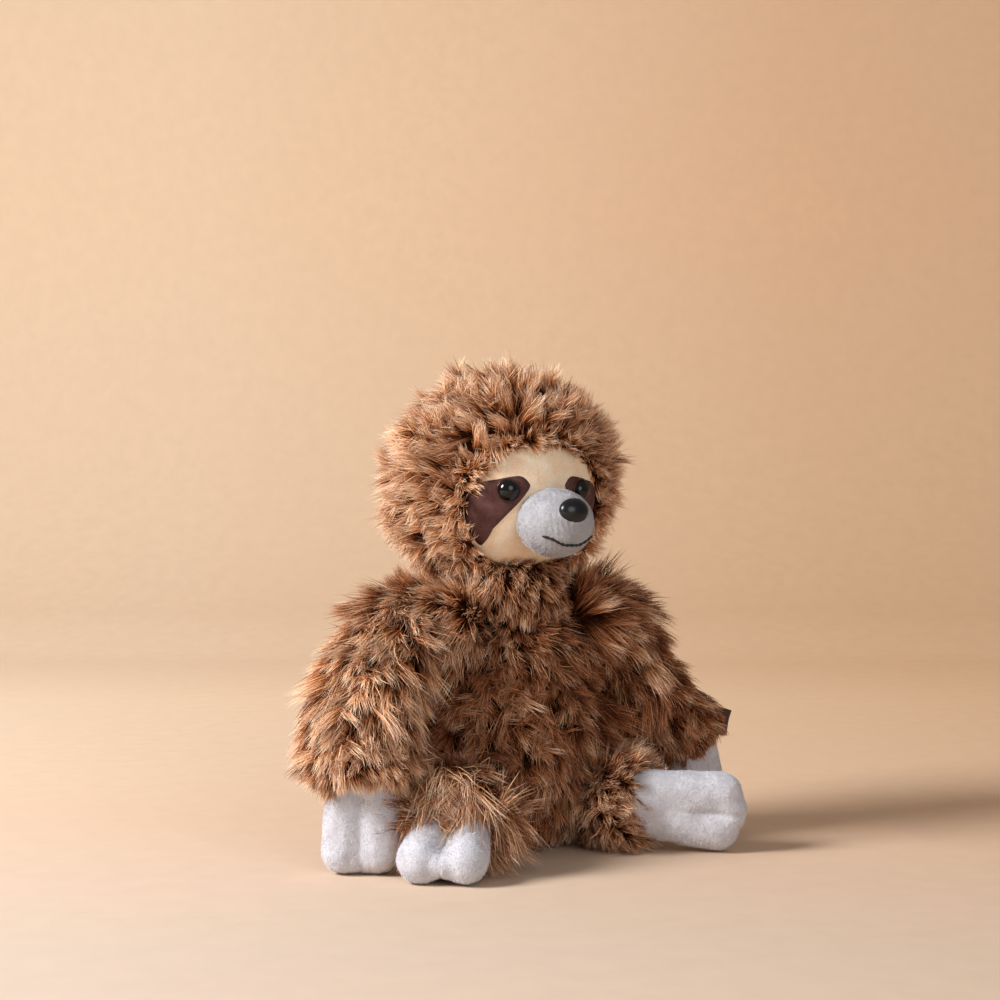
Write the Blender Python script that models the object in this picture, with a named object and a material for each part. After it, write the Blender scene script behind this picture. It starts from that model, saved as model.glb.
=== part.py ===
"""Sitting plush sloth: fur body, hooded head, two arms with grey hands and two legs with grey feet.

Metres, +Z up. The sloth faces -Y and its own left is +X. The origin is on the floor, under the
middle of the seat. Every moving piece hangs on an empty that stands on its seam's pivot.
"""
import math

import bmesh
import bpy
from mathutils import Matrix, Vector

# Clearances and seams
GAP = 0.0003
SEAM_THREAD = 0.0007
LIMB_SEAM_OFFSET_SHARE = 0.72
NECK_SEAM_OFFSET_SHARE = 0.83
THREAD_ROOM = 0.0012
STAND_DEPTH = 0.0005
OVERRUN = 0.020
WELD = 0.00001

# Body
BODY_HALF_WIDTH = 0.050
BODY_HALF_DEPTH = 0.046
BODY_WIDEST_Z = 0.046
BODY_TOP_Z = 0.131
BODY_PILE = 0.013
CROWN_SQUARE_SHARE = 0.86
SEAT_SQUARE_SHARE = 0.62
POUCH_TOP_Z = 0.033

# Neck and head
NECK_DROP = 0.003
NECK_RADIUS = 0.025
HEAD_RISE = 0.060
HEAD_BACK = 0.0013
HEAD_HALF_WIDTH = 0.061
HEAD_HALF_DEPTH = 0.059
HEAD_HALF_HEIGHT = 0.0595
HEAD_PILE = 0.0135
SKULL_DROP = 0.005
FACE_CLOTH = 0.0016
FACE_OPENING_HALF_WIDTH = 0.036
FACE_OPENING_HALF_HEIGHT = 0.0315
FACE_OPENING_DROP = 0.0155
FACE_SEAM_ALLOWANCE = 0.004
FACE_BACK_SHARE = 0.25

# Eyes and the dark patches round them
EYE_SPREAD = 0.0195
EYE_DROP = 0.0075
EYE_RADIUS = 0.006
EYE_BULGE = 0.0042
EYE_LIFT = 0.0003
SHANK_RADIUS = 0.002
SHANK_LENGTH = 0.012
WASHER_RADIUS = 0.0065
WASHER_THICKNESS = 0.0018
WASHER_DEPTH = 0.006
PATCH_CLOTH = 0.0009
PATCH_LENGTH = 0.031
PATCH_OUTLINE_SHARES = (
    (0.30, 0.12), (0.16, 0.22), (-0.16, 0.17), (-0.39, 0.09), (-0.50, -0.20), (-0.41, -0.60),
    (-0.22, -0.88), (-0.18, -0.68), (-0.03, -0.43), (0.17, -0.18), (0.31, 0.03),
)

# Muzzle, nose and mouth
MUZZLE_FORWARD = 0.0535
MUZZLE_DROP = 0.0235
MUZZLE_HALF_WIDTH = 0.0182
MUZZLE_HALF_DEPTH = 0.0205
MUZZLE_HALF_HEIGHT = 0.0168
MUZZLE_CLOTH = 0.0016
NOSE_HALF_WIDTH = 0.0078
NOSE_HALF_HEIGHT = 0.0062
NOSE_BULGE = 0.0046
NOSE_RISE = 0.0060
NOSE_SINK = 0.0012
NOSE_WASHER_RADIUS = 0.0048
MOUTH_THREAD = 0.0006
MOUTH_HALF_WIDTH = 0.0125
MOUTH_DROP = 0.0104
MOUTH_CURL = 0.0042
MOUTH_LOW_SHARE = 0.12
MOUTH_BOW_SHARE = 0.55
MOUTH_SAG_SHARE = 0.5

# Arms, from the shoulder pivot through a bend to the wrist pivot
SHOULDER_OUT = 0.007
SHOULDER_FORWARD = 0.003
SHOULDER_DROP = 0.019
RIGHT_ELBOW_OUT = 0.038
RIGHT_ELBOW_FORWARD = 0.025
RIGHT_ELBOW_DROP = 0.026
RIGHT_WRIST_OUT = 0.040
RIGHT_WRIST_FORWARD = 0.035
LEFT_ELBOW_OUT = 0.018
LEFT_ELBOW_FORWARD = 0.005
LEFT_ELBOW_DROP = 0.032
LEFT_WRIST_OUT = 0.044
LEFT_WRIST_FORWARD = 0.014
SWING_YAW = math.radians(20)
ARM_ROOT_RADIUS = 0.023
ARM_CUFF_RADIUS = 0.0265
ARM_CUFF_LENGTH = 0.009
ARM_CUFF_ROUND = 0.008
ARM_MOUTH_RADIUS = 0.0185
ARM_PILE = 0.011

# Hands, standing on the floor
HAND_YAW = math.radians(28)
HAND_TILT = {"left": math.radians(18), "right": 0}
HAND_LENGTH = 0.052
HAND_ROOT_RADIUS = 0.0135
HAND_DIGIT_RADIUS = 0.0100
HAND_DIGIT_SPREAD = 0.0094

# Legs, from the hip pivot straight out along the floor
HIP_OUT = 0.036
HIP_FORWARD = 0.025
LEG_SPLAY = math.radians(33)
LEG_ROOT_RADIUS = 0.018
LEG_CUFF_RADIUS = 0.0245
LEG_ANKLE_LENGTH = 0.028
LEG_CUFF_LENGTH = 0.012
LEG_CUFF_ROUND = 0.007
LEG_MOUTH_RADIUS = 0.0195
LEG_PILE = 0.009
HIP_CREASE_REACH = 0.012
HIP_CREASE_RADIUS = 0.0286

# Feet
FOOT_LENGTH = 0.051
FOOT_ROOT_RADIUS = 0.0140
FOOT_DIGIT_RADIUS = 0.0110
FOOT_DIGIT_SPREAD = 0.0100
FOOT_ROLL = {"left": math.radians(84), "right": 0}
FOOT_TURN_OUT = {"left": math.radians(25), "right": math.radians(4)}

# Cloth and digits of hands and feet; the outer digit is the slimmer one
SLIM_DIGIT_SHARE = 0.92
DIGIT_START_SHARE = 0.8
SKIN_CLOTH = 0.0016
SKIN_OPENING_RADIUS = 0.0085

# Plain sewn-in label
LABEL_WIDTH = 0.014
LABEL_LENGTH = 0.019
LABEL_THICKNESS = 0.0007
LABEL_SLANT_ROOM = 0.0050
LABEL_YAW = math.radians(10)

# How limbs swell and round off
SWELL_SHARE = 0.75
DOME_START_SHARE = 0.5
ROUND_START_SHARE = 0.35

# Fineness of the meshes
BODY_SEGMENTS = 20
BODY_RINGS = 10
BALL_SEGMENTS = 16
BALL_RINGS = 8
SMALL_SEGMENTS = 10
SMALL_RINGS = 6
LIMB_SEGMENTS = 10
DIGIT_SEGMENTS = 8
THREAD_SEGMENTS = 6
ARM_STEPS = 7
LEG_STEPS = 5
DIGIT_STEPS = 3
DOME_STEPS = 3
BUTTON_STEPS = 4
MOUTH_STEPS = 12
PATCH_STEPS = 2
RING_SEGMENTS = 16
RING_SIDES = 5
SMOOTH_ANGLE = math.radians(50)

# Places worked out from the sizes; the limbs' are those of the left side
NECK_PIVOT = Vector((0, 0, BODY_TOP_Z - NECK_DROP))
HEAD_CENTRE = NECK_PIVOT + Vector((0, HEAD_BACK, HEAD_RISE))
HEAD_HALF = Vector((HEAD_HALF_WIDTH, HEAD_HALF_DEPTH, HEAD_HALF_HEIGHT))
SKULL_HALF = HEAD_HALF - Vector((HEAD_PILE, HEAD_PILE, HEAD_PILE))
MUZZLE_CENTRE = HEAD_CENTRE - Vector((0, MUZZLE_FORWARD, MUZZLE_DROP))
MUZZLE_HALF = Vector((MUZZLE_HALF_WIDTH, MUZZLE_HALF_DEPTH, MUZZLE_HALF_HEIGHT))
SHOULDER = Vector((BODY_HALF_WIDTH + SHOULDER_OUT, -SHOULDER_FORWARD, BODY_TOP_Z - SHOULDER_DROP))
ELBOW = {
    "left": SHOULDER + Vector((LEFT_ELBOW_OUT, -LEFT_ELBOW_FORWARD, -LEFT_ELBOW_DROP)),
    "right": SHOULDER + Vector((RIGHT_ELBOW_OUT, -RIGHT_ELBOW_FORWARD, -RIGHT_ELBOW_DROP)),
}
WRIST = {
    "left": Vector((SHOULDER.x + LEFT_WRIST_OUT, SHOULDER.y - LEFT_WRIST_FORWARD, HAND_LENGTH)),
    "right": Vector((SHOULDER.x + RIGHT_WRIST_OUT, SHOULDER.y - RIGHT_WRIST_FORWARD, HAND_LENGTH)),
}
HIP = Vector((HIP_OUT, -HIP_FORWARD, LEG_CUFF_RADIUS))

# Colours, roughness
FUR = ((0.33, 0.15, 0.075, 1), 0.95)
GREY_PLUSH = ((0.55, 0.52, 0.52, 1), 0.90)
CREAM = ((0.80, 0.60, 0.42, 1), 0.85)
PLUM = ((0.075, 0.030, 0.030, 1), 0.90)
BLACK_PLASTIC = ((0.012, 0.012, 0.014, 1), 0.08)
WHITE_PLASTIC = ((0.85, 0.85, 0.83, 1), 0.40)
STUFFING = ((0.90, 0.89, 0.86, 1), 0.95)
POUCH_CLOTH = ((0.80, 0.78, 0.72, 1), 0.85)
THREAD = ((0.14, 0.065, 0.035, 1), 0.80)
MOUTH_BLACK = ((0.020, 0.016, 0.016, 1), 0.70)
LABEL_BROWN = ((0.065, 0.028, 0.014, 1), 0.75)

SIDES = {"left": 1, "right": -1}


def start_scene():
    """Empty the scene and return the collection of the parts and that of the cutters."""
    for obj in list(bpy.data.objects):
        bpy.data.objects.remove(obj, do_unlink=True)
    made = []
    for name in ("plush_sloth", "cutters"):
        collection = bpy.data.collections.new(name)
        bpy.context.scene.collection.children.link(collection)
        made.append(collection)
    return made


PARTS, CUTTERS = start_scene()


# Objects and materials

def material(name, look):
    colour, roughness = look
    made = bpy.data.materials.new(name)
    made.use_nodes = True
    shader = made.node_tree.nodes["Principled BSDF"]
    shader.inputs["Base Color"].default_value = colour
    shader.inputs["Roughness"].default_value = roughness
    shader.inputs["Metallic"].default_value = 0
    return made


def part(name, mesh, look, pivot):
    """Put a mesh, modelled round its pivot, into the scene as one sub-part."""
    mesh.name = name
    mesh.materials.clear()
    mesh.materials.append(material(name, look))
    mesh.shade_smooth()
    mesh.set_sharp_from_angle(angle=SMOOTH_ANGLE)
    obj = bpy.data.objects.new(name, mesh)
    PARTS.objects.link(obj)
    obj.parent = pivot
    return obj


def cutter(name, mesh, pivot):
    """Put a mesh into the scene as a tool that only cuts, joins or trims."""
    obj = bpy.data.objects.new(name, mesh)
    CUTTERS.objects.link(obj)
    obj.parent = pivot
    obj.hide_render = True
    obj.display_type = "WIRE"
    return obj


def pivot_empty(name, place, parent=None):
    """Empty on a joint's pivot; place is in the world, and no empty is turned."""
    empty = bpy.data.objects.new(name, None)
    PARTS.objects.link(empty)
    empty.location = place - (world_place(parent) if parent else Vector())
    empty.parent = parent
    return empty


def world_place(obj):
    place = Vector()
    while obj:
        place += obj.location
        obj = obj.parent
    return place


def boolean(obj, operation, others):
    for other in others:
        modifier = obj.modifiers.new(other.name, "BOOLEAN")
        modifier.operation = operation
        modifier.solver = "EXACT"
        modifier.object = other
    return obj


def cut(obj, *others):
    return boolean(obj, "DIFFERENCE", others)


def join(obj, *others):
    return boolean(obj, "UNION", others)


def trim(obj, *others):
    return boolean(obj, "INTERSECT", others)


# Shapes

def mesh_from(build):
    """Run a function that fills a bmesh, and return the mesh."""
    mesh = bpy.data.meshes.new("shape")
    shape = bmesh.new()
    build(shape)
    bmesh.ops.recalc_face_normals(shape, faces=shape.faces)
    shape.to_mesh(mesh)
    shape.free()
    return mesh


def moved(mesh, place=None, turn=None):
    if turn is not None:
        mesh.transform(turn)
    if place is not None:
        mesh.transform(Matrix.Translation(place))
    return mesh


def ball(half, segments=BALL_SEGMENTS, rings=BALL_RINGS):
    """Ball primitive drawn out to a half size along each axis."""
    def build(shape):
        bmesh.ops.create_uvsphere(shape, u_segments=segments, v_segments=rings, radius=1)
        bmesh.ops.scale(shape, vec=half, verts=shape.verts)
    return mesh_from(build)


def round_ball(radius, segments=BALL_SEGMENTS, rings=BALL_RINGS):
    return ball(Vector((radius, radius, radius)), segments, rings)


def block(low, high):
    def build(shape):
        bmesh.ops.create_cube(shape, size=1)
        bmesh.ops.scale(shape, vec=high - low, verts=shape.verts)
        bmesh.ops.translate(shape, vec=(high + low) / 2, verts=shape.verts)
    return mesh_from(build)


def rod(radius, bottom, top, segments=SMALL_SEGMENTS):
    """Cylinder along Z."""
    def build(shape):
        bmesh.ops.create_cone(shape, cap_ends=True, segments=segments,
                              radius1=radius, radius2=radius, depth=top - bottom)
        bmesh.ops.translate(shape, vec=Vector((0, 0, (top + bottom) / 2)), verts=shape.verts)
    return mesh_from(build)


def egg(inset):
    """Body form: a ball made squarer, most so at the seat, and drawn out above its widest height."""
    half_width = BODY_HALF_WIDTH - inset
    half_depth = BODY_HALF_DEPTH - inset
    above = BODY_TOP_Z - inset - BODY_WIDEST_Z
    below = BODY_WIDEST_Z + STAND_DEPTH - inset

    def build(shape):
        bmesh.ops.create_uvsphere(shape, u_segments=BODY_SEGMENTS, v_segments=BODY_RINGS, radius=1)
        for vert in shape.verts:
            square = CROWN_SQUARE_SHARE if vert.co.z > 0 else SEAT_SQUARE_SHARE
            reach = math.hypot(vert.co.x, vert.co.y)
            rounder = reach ** square / reach if reach > WELD else 0
            height = math.copysign(abs(vert.co.z) ** square, vert.co.z)
            vert.co.x *= rounder * half_width
            vert.co.y *= rounder * half_depth
            vert.co.z = BODY_WIDEST_Z + height * (above if height > 0 else below)
    return mesh_from(build)


def tube(stations, segments=LIMB_SEGMENTS):
    """Round tube through (place, radius) stations, from a curve with filled caps."""
    curve = bpy.data.curves.new("tube", "CURVE")
    curve.dimensions = "3D"
    curve.bevel_depth = 1
    curve.bevel_resolution = segments // 2 - 2
    curve.use_fill_caps = True
    spline = curve.splines.new("POLY")
    spline.points.add(len(stations) - 1)
    for point, (place, radius) in zip(spline.points, stations):
        point.co = (*place, 1)
        point.radius = radius
    guide = bpy.data.objects.new("tube", curve)
    bpy.context.scene.collection.objects.link(guide)
    evaluated = guide.evaluated_get(bpy.context.evaluated_depsgraph_get())
    mesh = bpy.data.meshes.new_from_object(evaluated)
    bpy.data.objects.remove(guide, do_unlink=True)
    shape = bmesh.new()
    shape.from_mesh(mesh)
    bmesh.ops.remove_doubles(shape, verts=shape.verts, dist=WELD)
    bmesh.ops.recalc_face_normals(shape, faces=shape.faces)
    shape.to_mesh(mesh)
    shape.free()
    return mesh


def ease(share):
    """Smooth rise from 0 to 1."""
    share = min(max(share, 0), 1)
    return share * share * (3 - 2 * share)


def dome(centre, back, radius):
    """Stations of the half ball behind a limb's first place."""
    stations = []
    for step in range(DOME_STEPS):
        angle = math.radians(90) * (step + DOME_START_SHARE) / DOME_STEPS
        stations.append((centre + back * radius * math.cos(angle), radius * math.sin(angle)))
    return stations


def limb(path, root_radius, end_radius, end_round, segments=LIMB_SEGMENTS):
    """Stuffed limb: a ball round the first place of the path, swelling to a rounded end."""
    stations = dome(path[0], (path[0] - path[1]).normalized(), root_radius)
    lengths = [0]
    for before, after in zip(path, path[1:]):
        lengths.append(lengths[-1] + (after - before).length)
    whole = lengths[-1]
    for place, length in zip(path, lengths):
        if length > whole - end_round and end_round:
            break
        radius = root_radius + (end_radius - root_radius) * ease(length / (whole * SWELL_SHARE))
        stations.append((place, radius))
    onward = (path[-1] - path[-2]).normalized()
    if end_round:
        for step in range(DOME_STEPS):
            angle = math.radians(90) * (step + ROUND_START_SHARE) / DOME_STEPS
            back_off = end_round * (1 - math.sin(angle))
            radius = end_radius - end_round * (1 - math.cos(angle))
            stations.append((path[-1] - onward * back_off, radius))
    return tube(stations, segments)


def line(start, end, steps):
    return [start.lerp(end, step / steps) for step in range(steps + 1)]


def swept(start, bend, end, steps):
    """Curve that leaves start towards bend and reaches end from bend."""
    places = []
    for step in range(steps + 1):
        share = step / steps
        places.append(start.lerp(bend, share).lerp(bend.lerp(end, share), share))
    return places


def outline_plate(outline, low_y, high_y):
    """Flat outline in X and Z, drawn out along Y."""
    def build(shape):
        verts = [shape.verts.new((x, low_y, z)) for x, z in outline]
        face = shape.faces.new(verts)
        drawn = bmesh.ops.extrude_face_region(shape, geom=[face])
        fresh = [item for item in drawn["geom"] if isinstance(item, bmesh.types.BMVert)]
        bmesh.ops.translate(shape, vec=Vector((0, high_y - low_y, 0)), verts=fresh)
    return mesh_from(build)


def closed_curve(points, steps):
    """Closed smooth outline through points, steps to each stretch."""
    outline = []
    count = len(points)
    for index in range(count):
        before, here, after, beyond = (Vector(points[(index + k) % count]) for k in (-1, 0, 1, 2))
        for step in range(steps):
            t = step / steps
            outline.append((2 * here + (after - before) * t
                            + (2 * before - 5 * here + 4 * after - beyond) * t ** 2
                            + (3 * here - before - 3 * after + beyond) * t ** 3) / 2)
    return outline


def seam_ring(name, pivot_obj, ball_radius, axis, offset_share=LIMB_SEAM_OFFSET_SHARE):
    """Ring of closing thread that lies round a stuffed ball, on the side that axis points to."""
    clear_radius = ball_radius + GAP + SEAM_THREAD
    offset = clear_radius * offset_share
    ring_radius = math.sqrt(clear_radius ** 2 - offset ** 2)
    mesh = bpy.data.meshes.new(name)
    shape = bmesh.new()
    circle = bmesh.ops.create_circle(shape, segments=RING_SIDES, radius=SEAM_THREAD,
                                     matrix=Matrix.Translation((ring_radius, 0, 0))
                                     @ Matrix.Rotation(math.radians(90), 4, "X"))
    edges = list({edge for vert in circle["verts"] for edge in vert.link_edges})
    bmesh.ops.spin(shape, geom=edges, axis=(0, 0, 1), cent=(0, 0, 0), steps=RING_SEGMENTS,
                   angle=math.radians(360), use_merge=True)
    bmesh.ops.remove_doubles(shape, verts=shape.verts, dist=WELD)
    bmesh.ops.recalc_face_normals(shape, faces=shape.faces)
    shape.to_mesh(mesh)
    shape.free()
    turn = axis.to_track_quat("Z", "Y").to_matrix().to_4x4()
    moved(mesh, axis * offset, turn)
    return part(name, mesh, THREAD, pivot_obj)


def socket(radius, segments=BALL_SEGMENTS, rings=BALL_RINGS):
    """Ball that leaves room round a stuffed ball of this radius and its seam thread."""
    facet_room = 1 / (math.cos(math.pi / segments) * math.cos(math.pi / (2 * rings)))
    return round_ball((radius + GAP + 2 * SEAM_THREAD + GAP) * facet_room, segments, rings)


def bore(radius, depth):
    """Round hole that clears a round piece of this radius, from a seat at z=0 down to depth."""
    facet_room = 1 / math.cos(math.pi / SMALL_SEGMENTS)
    return rod((radius + GAP) * facet_room, -depth - GAP, OVERRUN)


# Body

def sided(vector, side):
    return Vector((vector.x * SIDES[side], vector.y, vector.z))


def make_body(root):
    """Fur skin, stuffing and seat pouch, with room for the balls of neck, shoulders and hips."""
    wide = WRIST["right"].x + ARM_CUFF_RADIUS + FOOT_LENGTH
    floor = cutter("floor_cutter", block(
        Vector((-wide, -wide, -OVERRUN)), Vector((wide, wide, 0))), root)
    sockets = []
    for side in SIDES:
        sockets.append(cutter("shoulder_socket_" + side,
                              moved(socket(ARM_ROOT_RADIUS), sided(SHOULDER, side)), root))
        sockets.append(cutter("hip_socket_" + side,
                              moved(socket(LEG_ROOT_RADIUS), sided(HIP, side)), root))
        crease = sided(HIP, side) + leg_direction(side) * HIP_CREASE_REACH
        sockets.append(cutter("hip_crease_" + side,
                              moved(round_ball(HIP_CREASE_RADIUS), crease), root))

    neck_room = cutter("neck_room", moved(round_ball(NECK_RADIUS + GAP), NECK_PIVOT), root)
    body_room = cutter("body_room", egg(BODY_PILE), root)
    body_fur = part("body_fur", egg(0), FUR, root)
    cut(body_fur, body_room, neck_room, *sockets, floor)

    filling = egg(BODY_PILE + GAP)
    neck_ball = cutter("neck_ball", moved(round_ball(NECK_RADIUS), NECK_PIVOT), root)
    reach = BODY_HALF_WIDTH + OVERRUN
    low_half = cutter("pouch_space", block(
        Vector((-reach, -reach, -reach)), Vector((reach, reach, POUCH_TOP_Z + GAP))), root)
    pouch_half = cutter("pouch_slice", block(
        Vector((-reach, -reach, -reach)), Vector((reach, reach, POUCH_TOP_Z))), root)
    stuffing = part("body_stuffing", filling, STUFFING, root)
    join(stuffing, neck_ball)
    cut(stuffing, low_half, *sockets)
    pouch = part("seat_pellet_pouch", egg(BODY_PILE + GAP), POUCH_CLOTH, root)
    trim(pouch, pouch_half)
    cut(pouch, *sockets)
    return floor


# Head

def skull(inset, segments=BODY_SEGMENTS, rings=BODY_RINGS):
    """Cloth form of the head, inset from its outer side, about the neck pivot."""
    half = SKULL_HALF - Vector((inset, inset, inset))
    return moved(ball(half, segments, rings), skull_centre())


def skull_centre():
    return HEAD_CENTRE - Vector((0, 0, SKULL_DROP)) - NECK_PIVOT


def skull_front(x, z, inset=0):
    """Y of the head's cloth form at x and z, about the neck pivot."""
    centre = skull_centre()
    half = SKULL_HALF - Vector((inset, inset, inset))
    share = 1 - ((x - centre.x) / half.x) ** 2 - ((z - centre.z) / half.z) ** 2
    return centre.y - half.y * math.sqrt(max(share, 0))


def face_window(margin):
    """Oval column through the face opening, about the neck pivot."""
    centre = HEAD_CENTRE - NECK_PIVOT - Vector((0, 0, FACE_OPENING_DROP))
    mesh = rod(1, -HEAD_HALF.y - OVERRUN, -SKULL_HALF.y * FACE_BACK_SHARE, BODY_SEGMENTS)
    mesh.transform(Matrix.Rotation(math.radians(-90), 4, "X"))
    mesh.transform(Matrix.Diagonal((FACE_OPENING_HALF_WIDTH + margin, 1,
                                    FACE_OPENING_HALF_HEIGHT + margin, 1)))
    return moved(mesh, Vector((0, 0, centre.z)))


def face_normal(x, z):
    centre = skull_centre()
    offset = Vector((x, skull_front(x, z), z)) - centre
    return Vector((offset.x / SKULL_HALF.x ** 2, offset.y / SKULL_HALF.y ** 2,
                   offset.z / SKULL_HALF.z ** 2)).normalized()


def button(half, shank_radius, shank_length):
    """Plastic dome with a shank; +Z points out of the cloth, z=0 is the dome's back."""
    outline = []
    for step in range(BUTTON_STEPS + 1):
        angle = math.radians(90) * step / BUTTON_STEPS
        outline.append((half.x * math.sin(angle), half.z * math.cos(angle)))
    outline.append((half.x, -GAP))
    outline.append((shank_radius, -GAP))
    outline.append((shank_radius, -shank_length))
    outline.append((0, -shank_length))

    def build(shape):
        verts = [shape.verts.new((radius, 0, height)) for radius, height in outline]
        edges = [shape.edges.new(pair) for pair in zip(verts, verts[1:])]
        bmesh.ops.spin(shape, geom=verts + edges, axis=(0, 0, 1), cent=(0, 0, 0),
                       steps=BALL_SEGMENTS, angle=math.radians(360), use_merge=True)
        bmesh.ops.remove_doubles(shape, verts=shape.verts, dist=WELD)
        bmesh.ops.scale(shape, vec=(1, half.y / half.x, 1), verts=shape.verts)
    return mesh_from(build)


def washer(radius, bore, thickness):
    """Flat ring round the Z axis, from z=0 down."""
    outline = ((radius, 0), (radius, -thickness), (bore, -thickness), (bore, 0))

    def build(shape):
        verts = [shape.verts.new((reach, 0, height)) for reach, height in outline]
        edges = [shape.edges.new(pair) for pair in zip(verts, verts[1:] + verts[:1])]
        bmesh.ops.spin(shape, geom=verts + edges, axis=(0, 0, 1), cent=(0, 0, 0),
                       steps=SMALL_SEGMENTS, angle=math.radians(360), use_merge=True)
        bmesh.ops.remove_doubles(shape, verts=shape.verts, dist=WELD)
    return mesh_from(build)


def make_head(pivot):
    """Hood of fur, stuffing, face panel, eye patches, eyes, muzzle, nose and mouth."""
    neck_socket = cutter("head_socket", socket(NECK_RADIUS), pivot)
    skull_room = cutter("skull_room", skull(0), pivot)
    window = cutter("face_window", face_window(0), pivot)
    hood = part("head_fur", moved(ball(HEAD_HALF, BODY_SEGMENTS, BODY_RINGS),
                                  HEAD_CENTRE - NECK_PIVOT), FUR, pivot)
    cut(hood, skull_room, window, neck_socket)

    panel_room = cutter("panel_room", skull(GAP + FACE_CLOTH), pivot)
    panel_edge = cutter("panel_edge", face_window(FACE_SEAM_ALLOWANCE), pivot)
    panel = part("face_panel", skull(GAP), CREAM, pivot)
    trim(panel, panel_edge)
    cut(panel, panel_room, neck_socket)
    stuffing = part("head_stuffing", skull(GAP + FACE_CLOTH + GAP), STUFFING, pivot)
    cut(stuffing, neck_socket)

    for side in SIDES:
        make_eye(side, pivot, panel, stuffing)
    make_muzzle(pivot)


def make_eye(side, pivot, panel, stuffing):
    """Eye with its shank and lock washer, and the dark patch that it goes through."""
    eye_z = HEAD_CENTRE.z - EYE_DROP - NECK_PIVOT.z
    eye_x = EYE_SPREAD * SIDES[side]
    normal = face_normal(eye_x, eye_z)
    face = Vector((eye_x, skull_front(eye_x, eye_z), eye_z))
    turn = normal.to_track_quat("Z", "Y").to_matrix().to_4x4()
    seat = face + normal * (PATCH_CLOTH + GAP + GAP)

    shares = [Vector((-x * SIDES[side], z)) for x, z in PATCH_OUTLINE_SHARES]
    outline = [(eye_x + spot.x * PATCH_LENGTH, eye_z + spot.y * PATCH_LENGTH)
               for spot in closed_curve(shares, PATCH_STEPS)]
    column = cutter("patch_outline_" + side, outline_plate(
        outline, -SKULL_HALF.y - OVERRUN, -SKULL_HALF.y * FACE_BACK_SHARE), pivot)
    under = cutter("patch_under_" + side, skull(-GAP), pivot)
    patch = part("eye_patch_" + side, skull(-GAP - PATCH_CLOTH), PLUM, pivot)
    trim(patch, column)
    shank_hole = cutter("shank_hole_" + side, moved(
        bore(SHANK_RADIUS, SHANK_LENGTH), seat, turn), pivot)
    cut(patch, under, shank_hole)
    cut(panel, shank_hole)
    washer_room = cutter("washer_room_" + side, moved(
        bore(WASHER_RADIUS, SHANK_LENGTH), seat, turn), pivot)
    cut(stuffing, washer_room)

    half = Vector((EYE_RADIUS, EYE_RADIUS, EYE_BULGE))
    eye = button(half, SHANK_RADIUS, SHANK_LENGTH)
    part("eye_" + side, moved(eye, seat + normal * EYE_LIFT, turn), BLACK_PLASTIC, pivot)
    ring = washer(WASHER_RADIUS, SHANK_RADIUS + GAP, WASHER_THICKNESS)
    part("eye_washer_" + side, moved(ring, seat - normal * WASHER_DEPTH, turn), WHITE_PLASTIC, pivot)


def muzzle_front(x, z, inset=0):
    """Y of the muzzle's surface at x and z, about the neck pivot."""
    centre = MUZZLE_CENTRE - NECK_PIVOT
    half = MUZZLE_HALF - Vector((inset, inset, inset))
    share = 1 - ((x - centre.x) / half.x) ** 2 - ((z - centre.z) / half.z) ** 2
    return centre.y - half.y * math.sqrt(max(share, 0))


def make_muzzle(pivot):
    """Short plush cap with its stuffing, the nose with shank and washer, and the stitched mouth."""
    centre = MUZZLE_CENTRE - NECK_PIVOT

    def form(inset):
        half = MUZZLE_HALF - Vector((inset, inset, inset))
        return moved(ball(half), centre)

    face_side = cutter("muzzle_face_side", skull(-GAP), pivot)
    room = cutter("muzzle_room", form(MUZZLE_CLOTH), pivot)
    muzzle = part("muzzle", form(0), GREY_PLUSH, pivot)
    filling = part("muzzle_stuffing", form(MUZZLE_CLOTH + GAP), STUFFING, pivot)

    nose_z = centre.z + NOSE_RISE
    seat = Vector((0, muzzle_front(0, nose_z) + NOSE_SINK, nose_z))
    turn = Vector((0, -1, 0)).to_track_quat("Z", "Y").to_matrix().to_4x4()
    half = Vector((NOSE_HALF_WIDTH, NOSE_HALF_HEIGHT, NOSE_BULGE))
    nose_seat = cutter("nose_seat", moved(
        ball(half + Vector((GAP, GAP, GAP)), BALL_SEGMENTS, BALL_RINGS), seat, turn), pivot)
    shank_hole = cutter("nose_shank_hole", moved(
        bore(SHANK_RADIUS, SHANK_LENGTH), seat, turn), pivot)
    washer_room = cutter("nose_washer_room", moved(
        bore(NOSE_WASHER_RADIUS, SHANK_LENGTH), seat, turn), pivot)
    cut(muzzle, room, face_side, nose_seat, shank_hole)
    cut(filling, face_side, nose_seat, washer_room)
    nose = button(half, SHANK_RADIUS, SHANK_LENGTH)
    part("nose", moved(nose, seat, turn), BLACK_PLASTIC, pivot)
    ring = washer(NOSE_WASHER_RADIUS, SHANK_RADIUS + GAP, WASHER_THICKNESS)
    part("nose_washer", moved(ring, seat + Vector((0, WASHER_DEPTH, 0)), turn), WHITE_PLASTIC, pivot)

    stations = []
    for step in range(MOUTH_STEPS + 1):
        share = 2 * step / MOUTH_STEPS - 1
        x = share * MOUTH_HALF_WIDTH
        bow = math.sin(math.pi * MOUTH_BOW_SHARE * (abs(share) - MOUTH_LOW_SHARE)) ** 2
        sag = (1 - abs(share)) * abs(share) * MOUTH_SAG_SHARE
        z = centre.z - MOUTH_DROP + MOUTH_CURL * (bow - sag)
        y = muzzle_front(x, z, -MOUTH_THREAD - GAP * 2)
        stations.append((Vector((x, y, z)), MOUTH_THREAD))
    part("mouth_stitch", tube(stations, THREAD_SEGMENTS), MOUTH_BLACK, pivot)


# Arms, hands, legs and feet

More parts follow.
